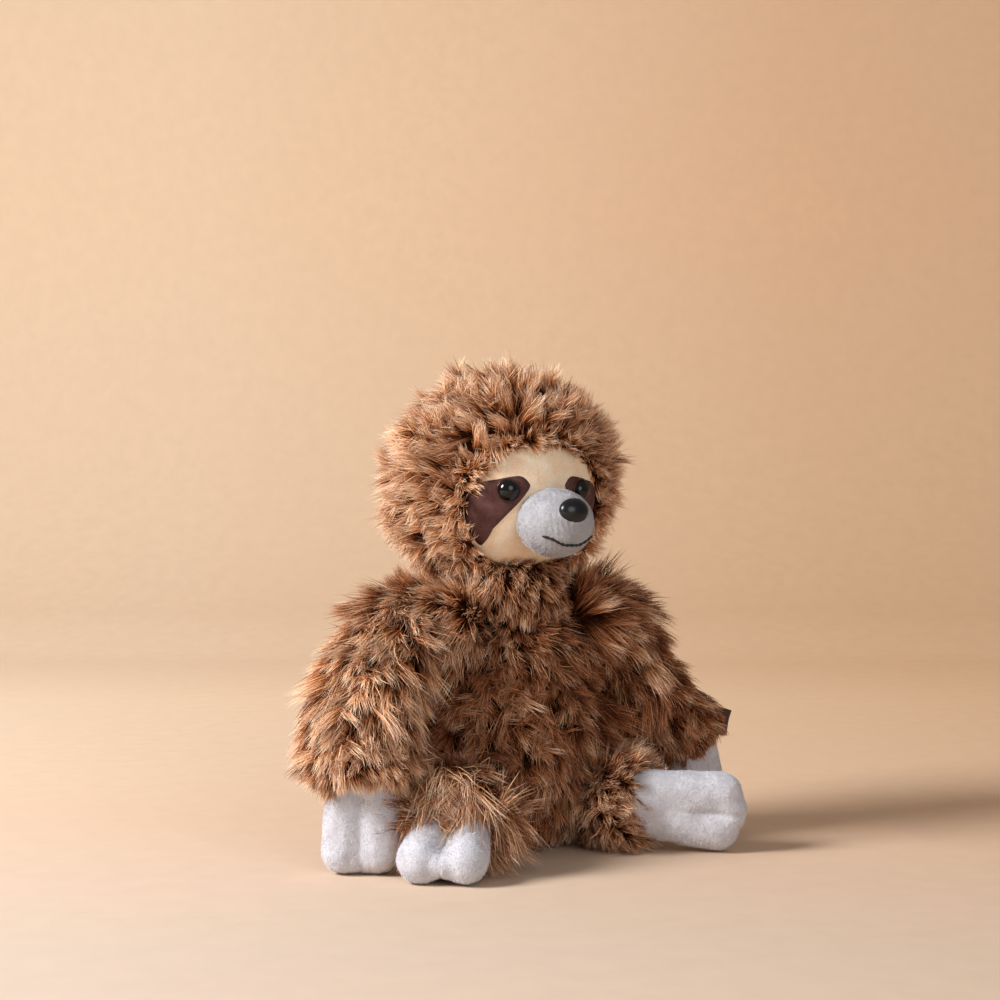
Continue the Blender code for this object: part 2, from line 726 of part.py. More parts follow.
def two_digits(root_radius, digit_radius, spread, length, outer, inset):
    """Mitten form round the pivot: a ball root and two digits side by side along -Z."""
    base = round_ball(root_radius - inset, SMALL_SEGMENTS, SMALL_RINGS)
    digits = []
    for sign in (-1, 1):
        size = digit_radius * (SLIM_DIGIT_SHARE if sign == outer else 1)
        start = Vector((sign * (root_radius - size) * DIGIT_START_SHARE, 0, 0))
        end = Vector((sign * spread, 0, -length + inset))
        root = min(size, root_radius - abs(start.x)) - inset
        digits.append(limb(line(start, end, DIGIT_STEPS), root, size - inset, size - inset,
                           DIGIT_SEGMENTS))
    return base, digits


def make_mitten(name, pivot, turn, sizes, floor):
    """Grey plush skin, open towards the limb, with its own stuffing inside."""
    def form(label, inset, as_part=None):
        base, digits = two_digits(*sizes, inset)
        tools = [cutter(name + "_" + label + "_digit", moved(mesh, None, turn), pivot)
                 for mesh in digits]
        moved(base, None, turn)
        obj = part(label, base, as_part, pivot) if as_part else cutter(name + "_" + label, base, pivot)
        return join(obj, *tools)

    room = form("room", SKIN_CLOTH)
    opening = cutter(name + "_opening", moved(
        rod(SKIN_OPENING_RADIUS, 0, sizes[0] + OVERRUN), None, turn), pivot)
    skin = form(name, 0, GREY_PLUSH)
    cut(skin, room, opening, floor)
    filling = form(name + "_stuffing", SKIN_CLOTH + GAP, STUFFING)
    cut(filling, floor_above(floor, SKIN_CLOTH + GAP, name))


def floor_above(floor, height, name):
    """Copy of the floor cutter, raised so that what is inside a skin stays inside."""
    raised = cutter(name + "_floor", floor.data.copy(), None)
    raised.location = (0, 0, height)
    return raised


def mouth(root_radius, outward, flare_radius, length):
    """Room for a mitten's ball root, flaring towards the cuff's end; about the mitten's pivot."""
    clear = root_radius + GAP + THREAD_ROOM
    growth = (flare_radius - clear) / length
    stations = dome(Vector(), -outward, clear)
    stations.append((Vector(), clear))
    for reach in (length, length + OVERRUN):
        stations.append((outward * reach, clear + growth * reach))
    return tube(stations)


def short_of_end(route):
    """The route with its last place drawn back by the gap, for what lies inside a room."""
    onward = (route[-1] - route[-2]).normalized()
    return route[:-1] + [route[-1] - onward * GAP]


def swing_axis(side):
    """Outward axis that an arm swings round; it leads the hand forward and clear of the foot."""
    return Vector((math.cos(SWING_YAW) * SIDES[side], math.sin(SWING_YAW), 0))


def make_arm(side, root, floor):
    """Fur sleeve and stuffing on the shoulder, and the hand on the wrist."""
    shoulder = sided(SHOULDER, side)
    wrist = sided(WRIST[side], side)
    swing = pivot_empty("shoulder_swing_" + side, shoulder, root)
    lift = pivot_empty("shoulder_lift_" + side, shoulder, swing)
    bend = pivot_empty("wrist_" + side, wrist, lift)

    route = swept(shoulder, sided(ELBOW[side], side), wrist, ARM_STEPS)
    route = [place - shoulder for place in route]
    onward = (route[-1] - route[-2]).normalized()
    whole = route + [route[-1] + onward * ARM_CUFF_LENGTH]

    outward = swing_axis(side)
    body_side = math.hypot(BODY_HALF_WIDTH * outward.x, BODY_HALF_DEPTH * outward.y) + GAP
    slab = block(Vector((-BODY_TOP_Z, -BODY_TOP_Z, -BODY_TOP_Z)),
                 Vector((body_side - shoulder.dot(outward), BODY_TOP_Z, BODY_TOP_Z)))
    facing = Matrix.Rotation(math.atan2(outward.y, outward.x), 4, "Z")
    side_slab = cutter("body_side_" + side, moved(slab, None, facing), lift)
    root_ball = cutter("arm_root_ball_" + side, round_ball(ARM_ROOT_RADIUS), lift)
    cut(side_slab, root_ball)
    heading = hand_turn(side) @ Vector((0, 0, -1))
    opening = cutter("cuff_opening_" + side, moved(
        mouth(HAND_ROOT_RADIUS, heading, ARM_MOUTH_RADIUS, ARM_CUFF_LENGTH), wrist - shoulder), lift)
    room = cutter("arm_room_" + side, limb(
        route, ARM_ROOT_RADIUS - ARM_PILE, ARM_CUFF_RADIUS - ARM_PILE, 0), lift)
    sleeve = part("arm_fur_" + side, limb(
        whole, ARM_ROOT_RADIUS, ARM_CUFF_RADIUS, ARM_CUFF_ROUND), FUR, lift)
    cut(sleeve, room, opening, side_slab)
    filling = part("arm_stuffing_" + side, limb(
        short_of_end(route), ARM_ROOT_RADIUS - ARM_PILE - GAP, ARM_CUFF_RADIUS - ARM_PILE - GAP, 0),
        STUFFING, lift)
    cut(filling, opening, side_slab)
    if side == "left":
        make_label(lift, sleeve, route[-2])

    seam_ring("shoulder_seam_" + side, swing, ARM_ROOT_RADIUS, -outward)
    sizes = (HAND_ROOT_RADIUS, HAND_DIGIT_RADIUS, HAND_DIGIT_SPREAD, hand_reach(side), SIDES[side])
    make_mitten("hand_" + side, bend, hand_turn(side), sizes, floor)


def hand_turn(side):
    """Turn of a hand: -Z runs to the finger tips, tilted outward, and X across both digits."""
    yaw = Matrix.Rotation(HAND_YAW * SIDES[side], 4, "Z")
    return yaw @ Matrix.Rotation(-HAND_TILT[side] * SIDES[side], 4, "Y")


def hand_reach(side):
    """Length of a hand that stands on the floor with its round tips, tilted or not."""
    drop = HAND_LENGTH + STAND_DEPTH - HAND_DIGIT_RADIUS
    return drop / math.cos(HAND_TILT[side]) + HAND_DIGIT_RADIUS


def leg_direction(side):
    return Vector((math.sin(LEG_SPLAY) * SIDES[side], -math.cos(LEG_SPLAY), 0))


def make_leg(side, root, floor):
    """Fur sleeve and stuffing on the hip, and the foot on the ankle."""
    hip = sided(HIP, side)
    along = leg_direction(side)
    splay = pivot_empty("hip_splay_" + side, hip, root)
    flex = pivot_empty("hip_flex_" + side, hip, splay)
    ankle = pivot_empty("ankle_" + side, hip + along * LEG_ANKLE_LENGTH, flex)

    route = line(Vector(), along * LEG_ANKLE_LENGTH, LEG_STEPS)
    whole = route + [along * (LEG_ANKLE_LENGTH + LEG_CUFF_LENGTH)]
    turn = foot_turn(side)
    heading = turn @ Vector((0, 0, -1))
    opening = cutter("ankle_opening_" + side, moved(
        mouth(FOOT_ROOT_RADIUS, heading, LEG_MOUTH_RADIUS, LEG_CUFF_LENGTH),
        along * LEG_ANKLE_LENGTH), flex)
    room = cutter("leg_room_" + side, limb(
        route, LEG_ROOT_RADIUS - LEG_PILE, LEG_CUFF_RADIUS - LEG_PILE, 0), flex)
    sleeve = part("leg_fur_" + side, limb(
        whole, LEG_ROOT_RADIUS, LEG_CUFF_RADIUS, LEG_CUFF_ROUND), FUR, flex)
    cut(sleeve, room, opening, floor)
    filling = part("leg_stuffing_" + side, limb(
        short_of_end(route), LEG_ROOT_RADIUS - LEG_PILE - GAP, LEG_CUFF_RADIUS - LEG_PILE - GAP, 0),
        STUFFING, flex)
    cut(filling, opening)
    seam_ring("hip_seam_" + side, splay, LEG_ROOT_RADIUS, -along)
    sizes = (FOOT_ROOT_RADIUS, FOOT_DIGIT_RADIUS, FOOT_DIGIT_SPREAD, FOOT_LENGTH, SIDES[side])
    make_mitten("foot_" + side, ankle, turn, sizes, floor)


def foot_turn(side):
    """Turn of a foot: -Z runs to the toes, outward and down to the floor, and X across both toes."""
    along = Matrix.Rotation(FOOT_TURN_OUT[side] * SIDES[side], 3, "Z") @ leg_direction(side)
    half_height = FOOT_DIGIT_RADIUS + FOOT_DIGIT_SPREAD * math.sin(FOOT_ROLL[side])
    drop = math.asin((HIP.z + STAND_DEPTH - half_height) / (FOOT_LENGTH - FOOT_DIGIT_RADIUS))
    heading = along * math.cos(drop) + Vector((0, 0, -math.sin(drop)))
    level = heading.cross(Vector((0, 0, 1))).normalized()
    upright = level.cross(heading).normalized()
    frame = Matrix((level, upright, -heading)).transposed()
    return frame.to_4x4() @ Matrix.Rotation(FOOT_ROLL[side] * SIDES[side], 4, "Z")


def make_label(lift, sleeve, spot):
    """Plain brown label sewn to the cloth of the left arm, with a slot through the pile."""
    root_x = ARM_CUFF_RADIUS - ARM_PILE + SKIN_CLOTH + LABEL_SLANT_ROOM
    half = Vector((0, LABEL_THICKNESS / 2, LABEL_WIDTH / 2))
    turn = Matrix.Rotation(LABEL_YAW, 4, "Z")
    room = Vector((GAP, GAP, GAP))
    low = Vector((root_x, 0, 0)) - half
    high = Vector((root_x + LABEL_LENGTH, 0, 0)) + half
    slot = cutter("label_slot", moved(block(low - room, high + room), spot, turn), lift)
    cut(sleeve, slot)
    part("sewn_label", moved(block(low, high), spot, turn), LABEL_BROWN, lift)


def make_sloth():
    root = pivot_empty("body", Vector())
    floor = make_body(root)
    turn = pivot_empty("neck_turn", NECK_PIVOT, root)
    nod = pivot_empty("head_nod", NECK_PIVOT, turn)
    seam_ring("neck_seam", turn, NECK_RADIUS, Vector((0, 0, 1)), NECK_SEAM_OFFSET_SHARE)
    make_head(nod)
    for side in SIDES:
        make_arm(side, root, floor)
        make_leg(side, root, floor)


make_sloth()
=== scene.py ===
"""Sitting plush sloth: shaggy two-tone fur in locks, cream face, grey muzzle, hands and feet.

Metres, +Z up; the sloth faces -Y and its own left is +X.
"""

import math

import bmesh
import bpy
import numpy as np
from mathutils import Matrix, Vector
from mathutils.kdtree import KDTree


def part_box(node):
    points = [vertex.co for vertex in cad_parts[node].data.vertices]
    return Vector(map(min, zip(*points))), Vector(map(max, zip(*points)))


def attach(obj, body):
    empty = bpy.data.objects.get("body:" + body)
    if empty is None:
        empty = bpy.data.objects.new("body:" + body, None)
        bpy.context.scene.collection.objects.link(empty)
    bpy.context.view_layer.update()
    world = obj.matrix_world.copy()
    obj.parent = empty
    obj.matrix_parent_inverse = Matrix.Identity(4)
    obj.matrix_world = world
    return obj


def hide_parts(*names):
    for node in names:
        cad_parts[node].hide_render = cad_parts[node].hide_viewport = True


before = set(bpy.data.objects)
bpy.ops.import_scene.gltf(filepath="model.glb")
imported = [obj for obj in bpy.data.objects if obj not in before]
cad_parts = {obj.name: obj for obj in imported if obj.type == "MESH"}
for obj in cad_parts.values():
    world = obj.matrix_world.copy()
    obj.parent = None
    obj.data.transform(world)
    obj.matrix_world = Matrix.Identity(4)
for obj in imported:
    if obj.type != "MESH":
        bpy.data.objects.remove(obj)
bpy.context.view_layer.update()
SIDES = {"left": 1, "right": -1}

# Sizes of the model that the pieces follow
BODY_HALF = (0.050, 0.046)
BODY_WIDEST_Z = 0.046
BODY_TOP_Z = 0.131
NECK = np.array((0, 0, 0.128))
HEAD = np.array((0, 0.0013, 0.188))
HEAD_HALF = np.array((0.061, 0.059, 0.0595))
HEAD_PILE = 0.0135
SKULL = HEAD - np.array((0, 0, 0.005))
SKULL_HALF = HEAD_HALF - HEAD_PILE
FACE_HALF = (0.0375, 0.0318)
FACE_Z = HEAD[2] - 0.0155
FACE_MIDDLE = np.array((0, -0.062, FACE_Z + 0.002))
MUZZLE = np.array((0, -0.0522, 0.1645))
MUZZLE_HALF = np.array((0.0182, 0.0205, 0.0168))
EYE_X = 0.0195
EYE_Z = HEAD[2] - 0.0075
EYE_RADIUS = 0.006
EYE_BULGE = 0.0042
PATCH_LENGTH = 0.031
PATCH = ((0.30, 0.12), (0.16, 0.22), (-0.16, 0.17), (-0.42, 0.09), (-0.56, -0.20), (-0.46, -0.60),
         (-0.22, -0.88), (-0.18, -0.68), (-0.03, -0.43), (0.17, -0.18), (0.31, 0.03))
NOSE_HALF = (0.0078, 0.0062, 0.0046)
NOSE_Z = MUZZLE[2] + 0.006
SHOULDER = np.array((0.057, -0.003, 0.112))
ELBOW = {"left": np.array((0.075, -0.008, 0.080)), "right": np.array((0.095, -0.028, 0.086))}
WRIST = {"left": np.array((0.101, -0.017, 0.052)), "right": np.array((0.097, -0.038, 0.052))}
ARM_ROOT, ARM_CUFF, ARM_PILE = 0.023, 0.0265, 0.011
HAND_YAW = math.radians(28)
HAND_TILT = {"left": math.radians(18), "right": 0}
SWING_YAW = math.radians(20)
HIP = np.array((0.036, -0.025, 0.0245))
LEG_SPLAY = math.radians(33)
LEG_ROOT, LEG_CUFF = 0.018, 0.0245
LEG_ANKLE = 0.028
FOOT_LENGTH = 0.051
FOOT_ROLL = {"left": math.radians(84), "right": 0}
FOOT_TURN_OUT = {"left": math.radians(25), "right": math.radians(4)}
LABEL_YAW = math.radians(10)
FLOOR_AIR = 0.0007
# Radius at the root, then radius and spread of the two digits, and for the feet the length
HAND_SIZES = (0.0135, 0.0121, 0.0078)
FOOT_SIZES = {"left": (0.014, 0.0120, 0.0090, 0.0505), "right": (0.014, 0.0119, 0.0105, 0.051)}
# Web between the digits: its radius, how far it ends behind the tips, and its crease's depth and start
WEB = {"hand": (0.0106, 0.0008, 0.0012, 0.010), "left": (0.0118, -0.0030, 0.0036, 0.020),
       "right": (0.0070, 0.0008, 0.0012, 0.010)}
# How far the cloth of body, arms and legs lies inside the pile's envelope, and the hood off the skull
BODY_CLOTH, HOOD_LIFT, ARM_CLOTH, LEG_CLOTH = 0.0080, 0.0045, 0.0062, 0.0052
HOOD_GAP, CLOTH = 0.0014, 0.0009
NECK_BALL = 0.0272
MOUTH_HALF = 0.0136
LABEL_SIZE, LABEL_TILT = (0.019, 0.014), math.radians(18)

# How every fur piece grows
STRAND_WIDTH, STRAND_POINTS, MOST_TRIANGLES = 0.00042, 4, 190000
LOCK_LIFT, STRAND_LIFT, LIFT_LIMITS = 15, 13, (8, 88)
LOCK_CURL, STRAND_CURL, STRAND_TURN, FRIZZ = 0.34, 0.2, 0.30, 0.00045
LOCK_REACH, STRAND_REACH = (0.78, 1.2), (0.62, 1.06)
LOCK_TONE, STRAND_TONE, TONE_DRIFT = 0.28, 0.18, 0.25
# How hard a lock holds its strands together, and how many are loose and how little those are held
GATHER, HOLD, PINCH = 0.85, (0.45, 1.1), (0.35, 0.85)
LOOSE, LOOSE_HOLD = 0.14, 0.25

# Nap, and how the stuffed plush is blown up
NAP_DENSITY, NAP_WIDTH, NAP_ROOT, NAP_BEND = 3.0, 0.00022, 0.0002, 0.55
VOXEL, PRESSURE, MOST_PUFF, LAST_FRAME = 0.0015, 4.0, 0.0010, 20
SETTLE, SETTLE_SOFT = 0.0003, 0.0016

# Camera, in metres and in pixels of the photo
FOCAL, FRAME, SENSOR = 1961, 1000, 36
AZIMUTH = math.radians(28)
CAMERA_AWAY, CAMERA_HEIGHT = 1.0, 0.18
AIM_OFF = (5, 9)


# Small helpers

def unit(vectors):
    return vectors / np.maximum(np.linalg.norm(vectors, axis=-1, keepdims=True), 1e-9)


def smooth(t):
    t = np.clip(t, 0, 1)
    return t * t * (3 - 2 * t)


def sided(point, sign):
    return np.array((point[0] * sign, point[1], point[2]))


def wobble(points, wave, seed, octaves=3):
    """Smooth noise of a few crossed waves, about -1 to 1; wave is its length in metres."""
    rng = np.random.default_rng(seed)
    total = np.zeros(len(points))
    for octave in range(octaves):
        for _ in range(4):
            direction = unit(rng.normal(size=3))
            phase = rng.uniform(0, 2 * math.pi)
            turns = points @ direction * (2 * math.pi / wave) * (1.7 ** octave)
            total += np.sin(turns + phase) * 0.6 ** octave
    return total / 4


def drift(points, wave, seed):
    """Smooth noise with three parts, to sway a direction."""
    return np.stack([wobble(points, wave, seed + k) for k in range(3)], axis=1)


def xyz(x, y, z):
    """Points from their coordinates, each of them one number or many."""
    return np.stack(np.broadcast_arrays(x, y, z), axis=1)


def circle(sides):
    """Cosines and sines of even steps round a circle."""
    angles = np.arange(sides) * 2 * math.pi / sides
    return np.cos(angles), np.sin(angles)


def tangent(vectors, normals):
    """The part of each vector that lies along the surface, as unit vectors."""
    along = vectors - normals * np.sum(vectors * normals, axis=1, keepdims=True)
    return unit(along)


def linear(colour):
    """Linear colour from an 8-bit one."""
    return tuple(((c / 255 + 0.055) / 1.055) ** 2.4 if c > 10 else c / 255 / 12.92 for c in colour) + (1,)


def add(name, mesh):
    obj = bpy.data.objects.new(name, mesh)
    bpy.context.scene.collection.objects.link(obj)
    mesh.name = name
    return obj


def dress(obj, look, body, slot, node=None, fill=None):
    """Give a piece its material and body, and where it has one hide its CAD node; slot and fill are not
    used.
    """
    obj.data.materials.append(look)
    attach(obj, body)
    if node:
        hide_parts(node)
    return obj


def piece(name, mesh, *dressing):
    return dress(add(name, mesh), *dressing)


def node_middle(name):
    low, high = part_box(name)
    return (np.array(low) + np.array(high)) / 2


def coords(mesh):
    co = np.empty(len(mesh.vertices) * 3, np.float32)
    mesh.vertices.foreach_get("co", co)
    return co.reshape(-1, 3).astype(float)


def place(mesh, co):
    mesh.vertices.foreach_set("co", co.astype(np.float32).ravel())
    mesh.update()


def normals_of(mesh):
    normals = np.empty(len(mesh.vertices) * 3, np.float32)
    mesh.vertices.foreach_get("normal", normals)
    return normals.reshape(-1, 3).astype(float)


def edited(mesh, change):
    """Change a mesh through bmesh."""
    shape = bmesh.new()
    shape.from_mesh(mesh)
    change(shape)
    shape.to_mesh(mesh)
    shape.free()


def loft(rings):
    """Closed surface through rings of points, each ring closed, with the first and last filled."""
    rings = np.array(rings)
    count, sides = rings.shape[:2]
    points = list(rings.reshape(-1, 3))
    points += [rings[0].mean(axis=0), rings[-1].mean(axis=0)]
    faces = []
    for row in range(count - 1):
        for side in range(sides):
            after = (side + 1) % sides
            faces.append((row * sides + side, row * sides + after,
                          (row + 1) * sides + after, (row + 1) * sides + side))
    for side in range(sides):
        after = (side + 1) % sides
        faces.append((side, count * sides, after))
        faces.append(((count - 1) * sides + side, (count - 1) * sides + after, count * sides + 1))
    mesh = bpy.data.meshes.new("loft")
    mesh.from_pydata([tuple(point) for point in points], [], faces)
    edited(mesh, lambda shape: bmesh.ops.recalc_face_normals(shape, faces=shape.faces))
    mesh.shade_smooth()
    return mesh


def ball(centre, half, rows, sides):
    """Rings of an upright egg, from top to bottom."""
    cos, sin = circle(sides)
    rings = []
    for row in range(1, rows):
        polar = math.pi * row / rows
        reach = math.sin(polar)
        rings.append(centre + xyz(reach * half[0] * cos, reach * half[1] * sin, math.cos(polar) * half[2]))
    return rings


def joined(parts):
    """One mesh of several closed lofts."""
    shape = bmesh.new()
    for rings in parts:
        part = loft(rings)
        shape.from_mesh(part)
        bpy.data.meshes.remove(part)
    mesh = bpy.data.meshes.new("joined")
    shape.to_mesh(mesh)
    shape.free()
    return mesh


def tube_rings(centres, radii, sides=32):
    """Rings square to a route, without twist."""
    centres = np.array(centres)
    ahead = unit(np.gradient(centres, axis=0))
    across = unit(np.cross(ahead[0], (0.3, 0.2, 1.0)))
    cos, sin = circle(sides)
    rings = []
    for centre, forward, radius in zip(centres, ahead, radii):
        across = unit(across - forward * np.dot(across, forward))
        other = np.cross(forward, across)
        rings.append(centre + radius * (np.outer(cos, across) + np.outer(sin, other)))
    return rings


def modified(obj, kind, **settings):
    """Apply one modifier to an object's mesh."""
    modifier = obj.modifiers.new(kind, kind)
    for key, value in settings.items():
        setattr(modifier, key, value)
    graph = bpy.context.evaluated_depsgraph_get()
    mesh = bpy.data.meshes.new_from_object(obj.evaluated_get(graph))
    obj.modifiers.clear()
    old = obj.data
    obj.data = mesh
    mesh.name = obj.name
    bpy.data.meshes.remove(old)


# Materials

class Shader:
    """A Principled material whose nodes are added one by one."""

    def __init__(self, name, roughness, sheen=0, sheen_tint=(1, 1, 1, 1), specular=0.5):
        self.material = bpy.data.materials.new(name)
        self.material.use_nodes = True
        self.tree = self.material.node_tree
        self.base = self.tree.nodes["Principled BSDF"]
        looks = {"Roughness": roughness, "Specular IOR Level": specular}
        if sheen:
            looks.update({"Sheen Weight": sheen, "Sheen Roughness": 0.5, "Sheen Tint": sheen_tint})
        for key, value in looks.items():
            self.base.inputs[key].default_value = value

    def node(self, kind, **settings):
        made = self.tree.nodes.new("ShaderNode" + kind)
        for key, value in settings.items():
            if isinstance(value, (int, float, tuple)) and key in made.inputs:
                made.inputs[key].default_value = value
            else:
                setattr(made, key, value)
        return made

    def link(self, source, target):
        self.tree.links.new(source, target)

    def place(self):
        """Places in the model's own frame."""
        return self.node("TexCoord").outputs["Object"]

    def ramp(self, factor, *stops):
        made = self.node("ValToRGB")
        elements = made.color_ramp.elements
        while len(elements) < len(stops):
            elements.new(0.5)
        for element, (position, colour) in zip(elements, stops):
            element.position = position
            element.color = linear(colour)
        self.link(factor, made.inputs["Fac"])
        return made.outputs["Color"]

    def mix(self, factor, first, second, blend="MIX"):
        made = self.node("Mix", data_type="RGBA", blend_type=blend)
        for socket, value in ((made.inputs["Factor"], factor), (made.inputs[6], first),
                              (made.inputs[7], second)):
            if isinstance(value, bpy.types.NodeSocket):
                self.link(value, socket)
            else:
                socket.default_value = value
        return made.outputs[2]

    def noise(self, scale, detail=3, roughness=0.55):
        made = self.node("TexNoise", Scale=scale, Detail=detail, Roughness=roughness)
        self.link(self.place(), made.inputs["Vector"])
        return made.outputs["Fac"]

    def bump(self, height, distance, strength=1.0, under=None):
        made = self.node("Bump", Strength=strength, Distance=distance)
        self.link(height, made.inputs["Height"])
        if under is not None:
            self.link(under, made.inputs["Normal"])
        self.link(made.outputs["Normal"], self.base.inputs["Normal"])
        return made.outputs["Normal"]

    def colour(self, socket):
        self.link(socket, self.base.inputs["Base Color"])


def strand_material(name, dark, pale, *looks):
    """Colour from the strand's own place: along it from root to tip, across it from dark to pale."""
    shader = Shader(name, *looks)
    strand = shader.node("UVMap", uv_map="strand")
    split = shader.node("SeparateXYZ")
    shader.link(strand.outputs["UV"], split.inputs["Vector"])
    dark, pale = (shader.ramp(split.outputs["Y"], *stops) for stops in (dark, pale))
    shader.colour(shader.mix(split.outputs["X"], dark, pale))
    return shader.material


def nap_material(name, root, low, high):
    # Each fibre is darker at its root: painted shade at the base of the nap.
    return strand_material(name, ((0.0, root), (0.6, low), (1.0, low)),
                           ((0.0, low), (0.5, high), (1.0, high)), 0.8, 0.2, (1, 1, 1, 1), 0.15)


def backing_shade_material():
    """Knitted back of the fur, which shows only deep between the locks; its dark brown is painted shade
    there.
    """
    shader = Shader("fur_backing_shade", 0.95, specular=0.1)
    fine = shader.noise(900, 4)
    shader.colour(shader.ramp(fine, (0.3, (34, 18, 12)), (0.7, (66, 36, 24))))
    shader.bump(fine, 0.0008)
    return shader.material


def plush_material(name, low, middle, high, pile=0.0004, sheen=0.35):
    """Short plush: mottled by the lie of its nap, partly tone that differs at random and partly painted
    sheen, with fine pile in the bump.
    """
    shader = Shader(name, 0.88, sheen, linear(high), 0.15)
    lie = shader.noise(130, 4, 0.6)
    fine = shader.noise(1500, 3, 0.7)
    # The lighter and darker patches of the mottle are partly painted sheen of the nap.
    base = shader.ramp(lie, (0.30, low), (0.52, middle), (0.72, high))
    speck = shader.ramp(fine, (0.30, (190, 190, 190)), (0.70, (255, 255, 255)))
    shader.colour(shader.mix(0.35, base, speck, "MULTIPLY"))
    shader.bump(fine, pile, 1.0, shader.bump(lie, 0.0012, 0.5))
    return shader.material


def plastic_material(name, colour, roughness=0.06):
    shader = Shader(name, roughness, specular=0.4)
    fine = shader.noise(400, 3)
    shader.colour(shader.ramp(fine, (0.3, colour), (0.8, tuple(c + 4 for c in colour))))
    shader.bump(fine, 0.00003, 0.3)
    return shader.material


def thread_material(name, dark, pale):
    shader = Shader(name, 0.7, 0.2, specular=0.25)
    lay = shader.node("TexWave", Scale=900, Distortion=2)
    shader.link(shader.place(), lay.inputs["Vector"])
    shader.colour(shader.ramp(lay.outputs["Fac"], (0.2, dark), (0.8, pale)))
    shader.bump(lay.outputs["Fac"], 0.0001)
    return shader.material


def woven_material(name, dark, pale, pitch=0.00045):
    """Plain weave ribbon: two crossed sets of threads."""
    shader = Shader(name, 0.72, 0.15, specular=0.25)
    both = shader.node("Math", operation="MULTIPLY")
    for socket, direction in zip(both.inputs, "XZ"):
        wave = shader.node("TexWave", Scale=1 / pitch / 6.283 * 2, bands_direction=direction)
        shader.link(shader.place(), wave.inputs["Vector"])
        shader.link(wave.outputs["Fac"], socket)
    shader.colour(shader.ramp(both.outputs["Value"], (0.1, dark), (0.8, pale)))
    shader.bump(both.outputs["Value"], 0.00015)
    return shader.material


# Fur colour along each strand: the near-black roots are painted shade deep in the pile, and the pale tips
# are partly the fur's own frosted tips and partly painted light, the glow of light through the fibres.
FUR = strand_material(
    "fur_pile",
    ((0.0, (8, 2, 0)), (0.34, (44, 14, 2)), (0.60, (104, 44, 10)), (0.83, (164, 90, 42)),
     (1.0, (222, 166, 120))),
    ((0.0, (16, 5, 1)), (0.24, (100, 46, 16)), (0.47, (206, 130, 76)), (0.70, (252, 208, 164)),
     (1.0, (255, 246, 232))), 0.7, 0, (1, 1, 1, 1), 0.12)
BACKING_SHADE = backing_shade_material()
GREY = plush_material("grey_plush", (196, 196, 204), (211, 211, 220), (224, 225, 233))
NAP = nap_material("grey_nap", (194, 194, 202), (204, 204, 213), (222, 223, 231))
# The muzzle's plush and nap are darker copies of the grey ones: painted shade.
MUZZLE_GREY_SHADED = plush_material("muzzle_plush_grey", (160, 160, 166), (174, 174, 180), (188, 188, 194))
MUZZLE_NAP_SHADED = nap_material("muzzle_nap_grey", (158, 158, 164), (170, 170, 176), (188, 188, 194))
CREAM = plush_material("cream_plush", (255, 222, 188), (255, 234, 206), (255, 246, 228), 0.0002, 0.1)
PLUM = plush_material("plum_plush", (78, 50, 48), (96, 64, 62), (118, 84, 80), 0.0003, 0.3)
BLACK = plastic_material("black_plastic", (12, 12, 14))
NOSE_BLACK = plastic_material("nose_plastic", (20, 21, 24), 0.24)
RIM = plastic_material("eye_rim_plastic", (66, 34, 18), 0.12)
WHITE = plastic_material("white_plastic", (214, 214, 210), 0.4)
STITCH = thread_material("black_thread", (14, 11, 11), (46, 38, 36))
BROWN_THREAD = thread_material("brown_thread", (60, 34, 22), (104, 64, 44))
LABEL = woven_material("brown_ribbon", (62, 38, 24), (110, 74, 50))
FILLING = plush_material("white_filling", (214, 211, 204), (228, 226, 220), (240, 238, 234), 0.0008, 0)


# Fur

def scatter(mesh, count, rng):
    """Random places spread evenly over a mesh, with their normals."""
    mesh.calc_loop_triangles()
    corners = np.empty(len(mesh.loop_triangles) * 3, np.int32)
    mesh.loop_triangles.foreach_get("vertices", corners)
    corners = corners.reshape(-1, 3)
    co, normals = coords(mesh), normals_of(mesh)
    first, second, third = co[corners[:, 0]], co[corners[:, 1]], co[corners[:, 2]]
    area = np.linalg.norm(np.cross(second - first, third - first), axis=1)
    pick = rng.choice(len(corners), count, p=area / area.sum())
    a, b = rng.random(count), rng.random(count)
    flip = a + b > 1
    a[flip], b[flip] = 1 - a[flip], 1 - b[flip]
    weights = np.stack((1 - a - b, a, b), axis=1)[:, :, None]
    places = (co[corners[pick]] * weights).sum(axis=1)
    facing = unit((normals[corners[pick]] * weights).sum(axis=1))
    return places, facing


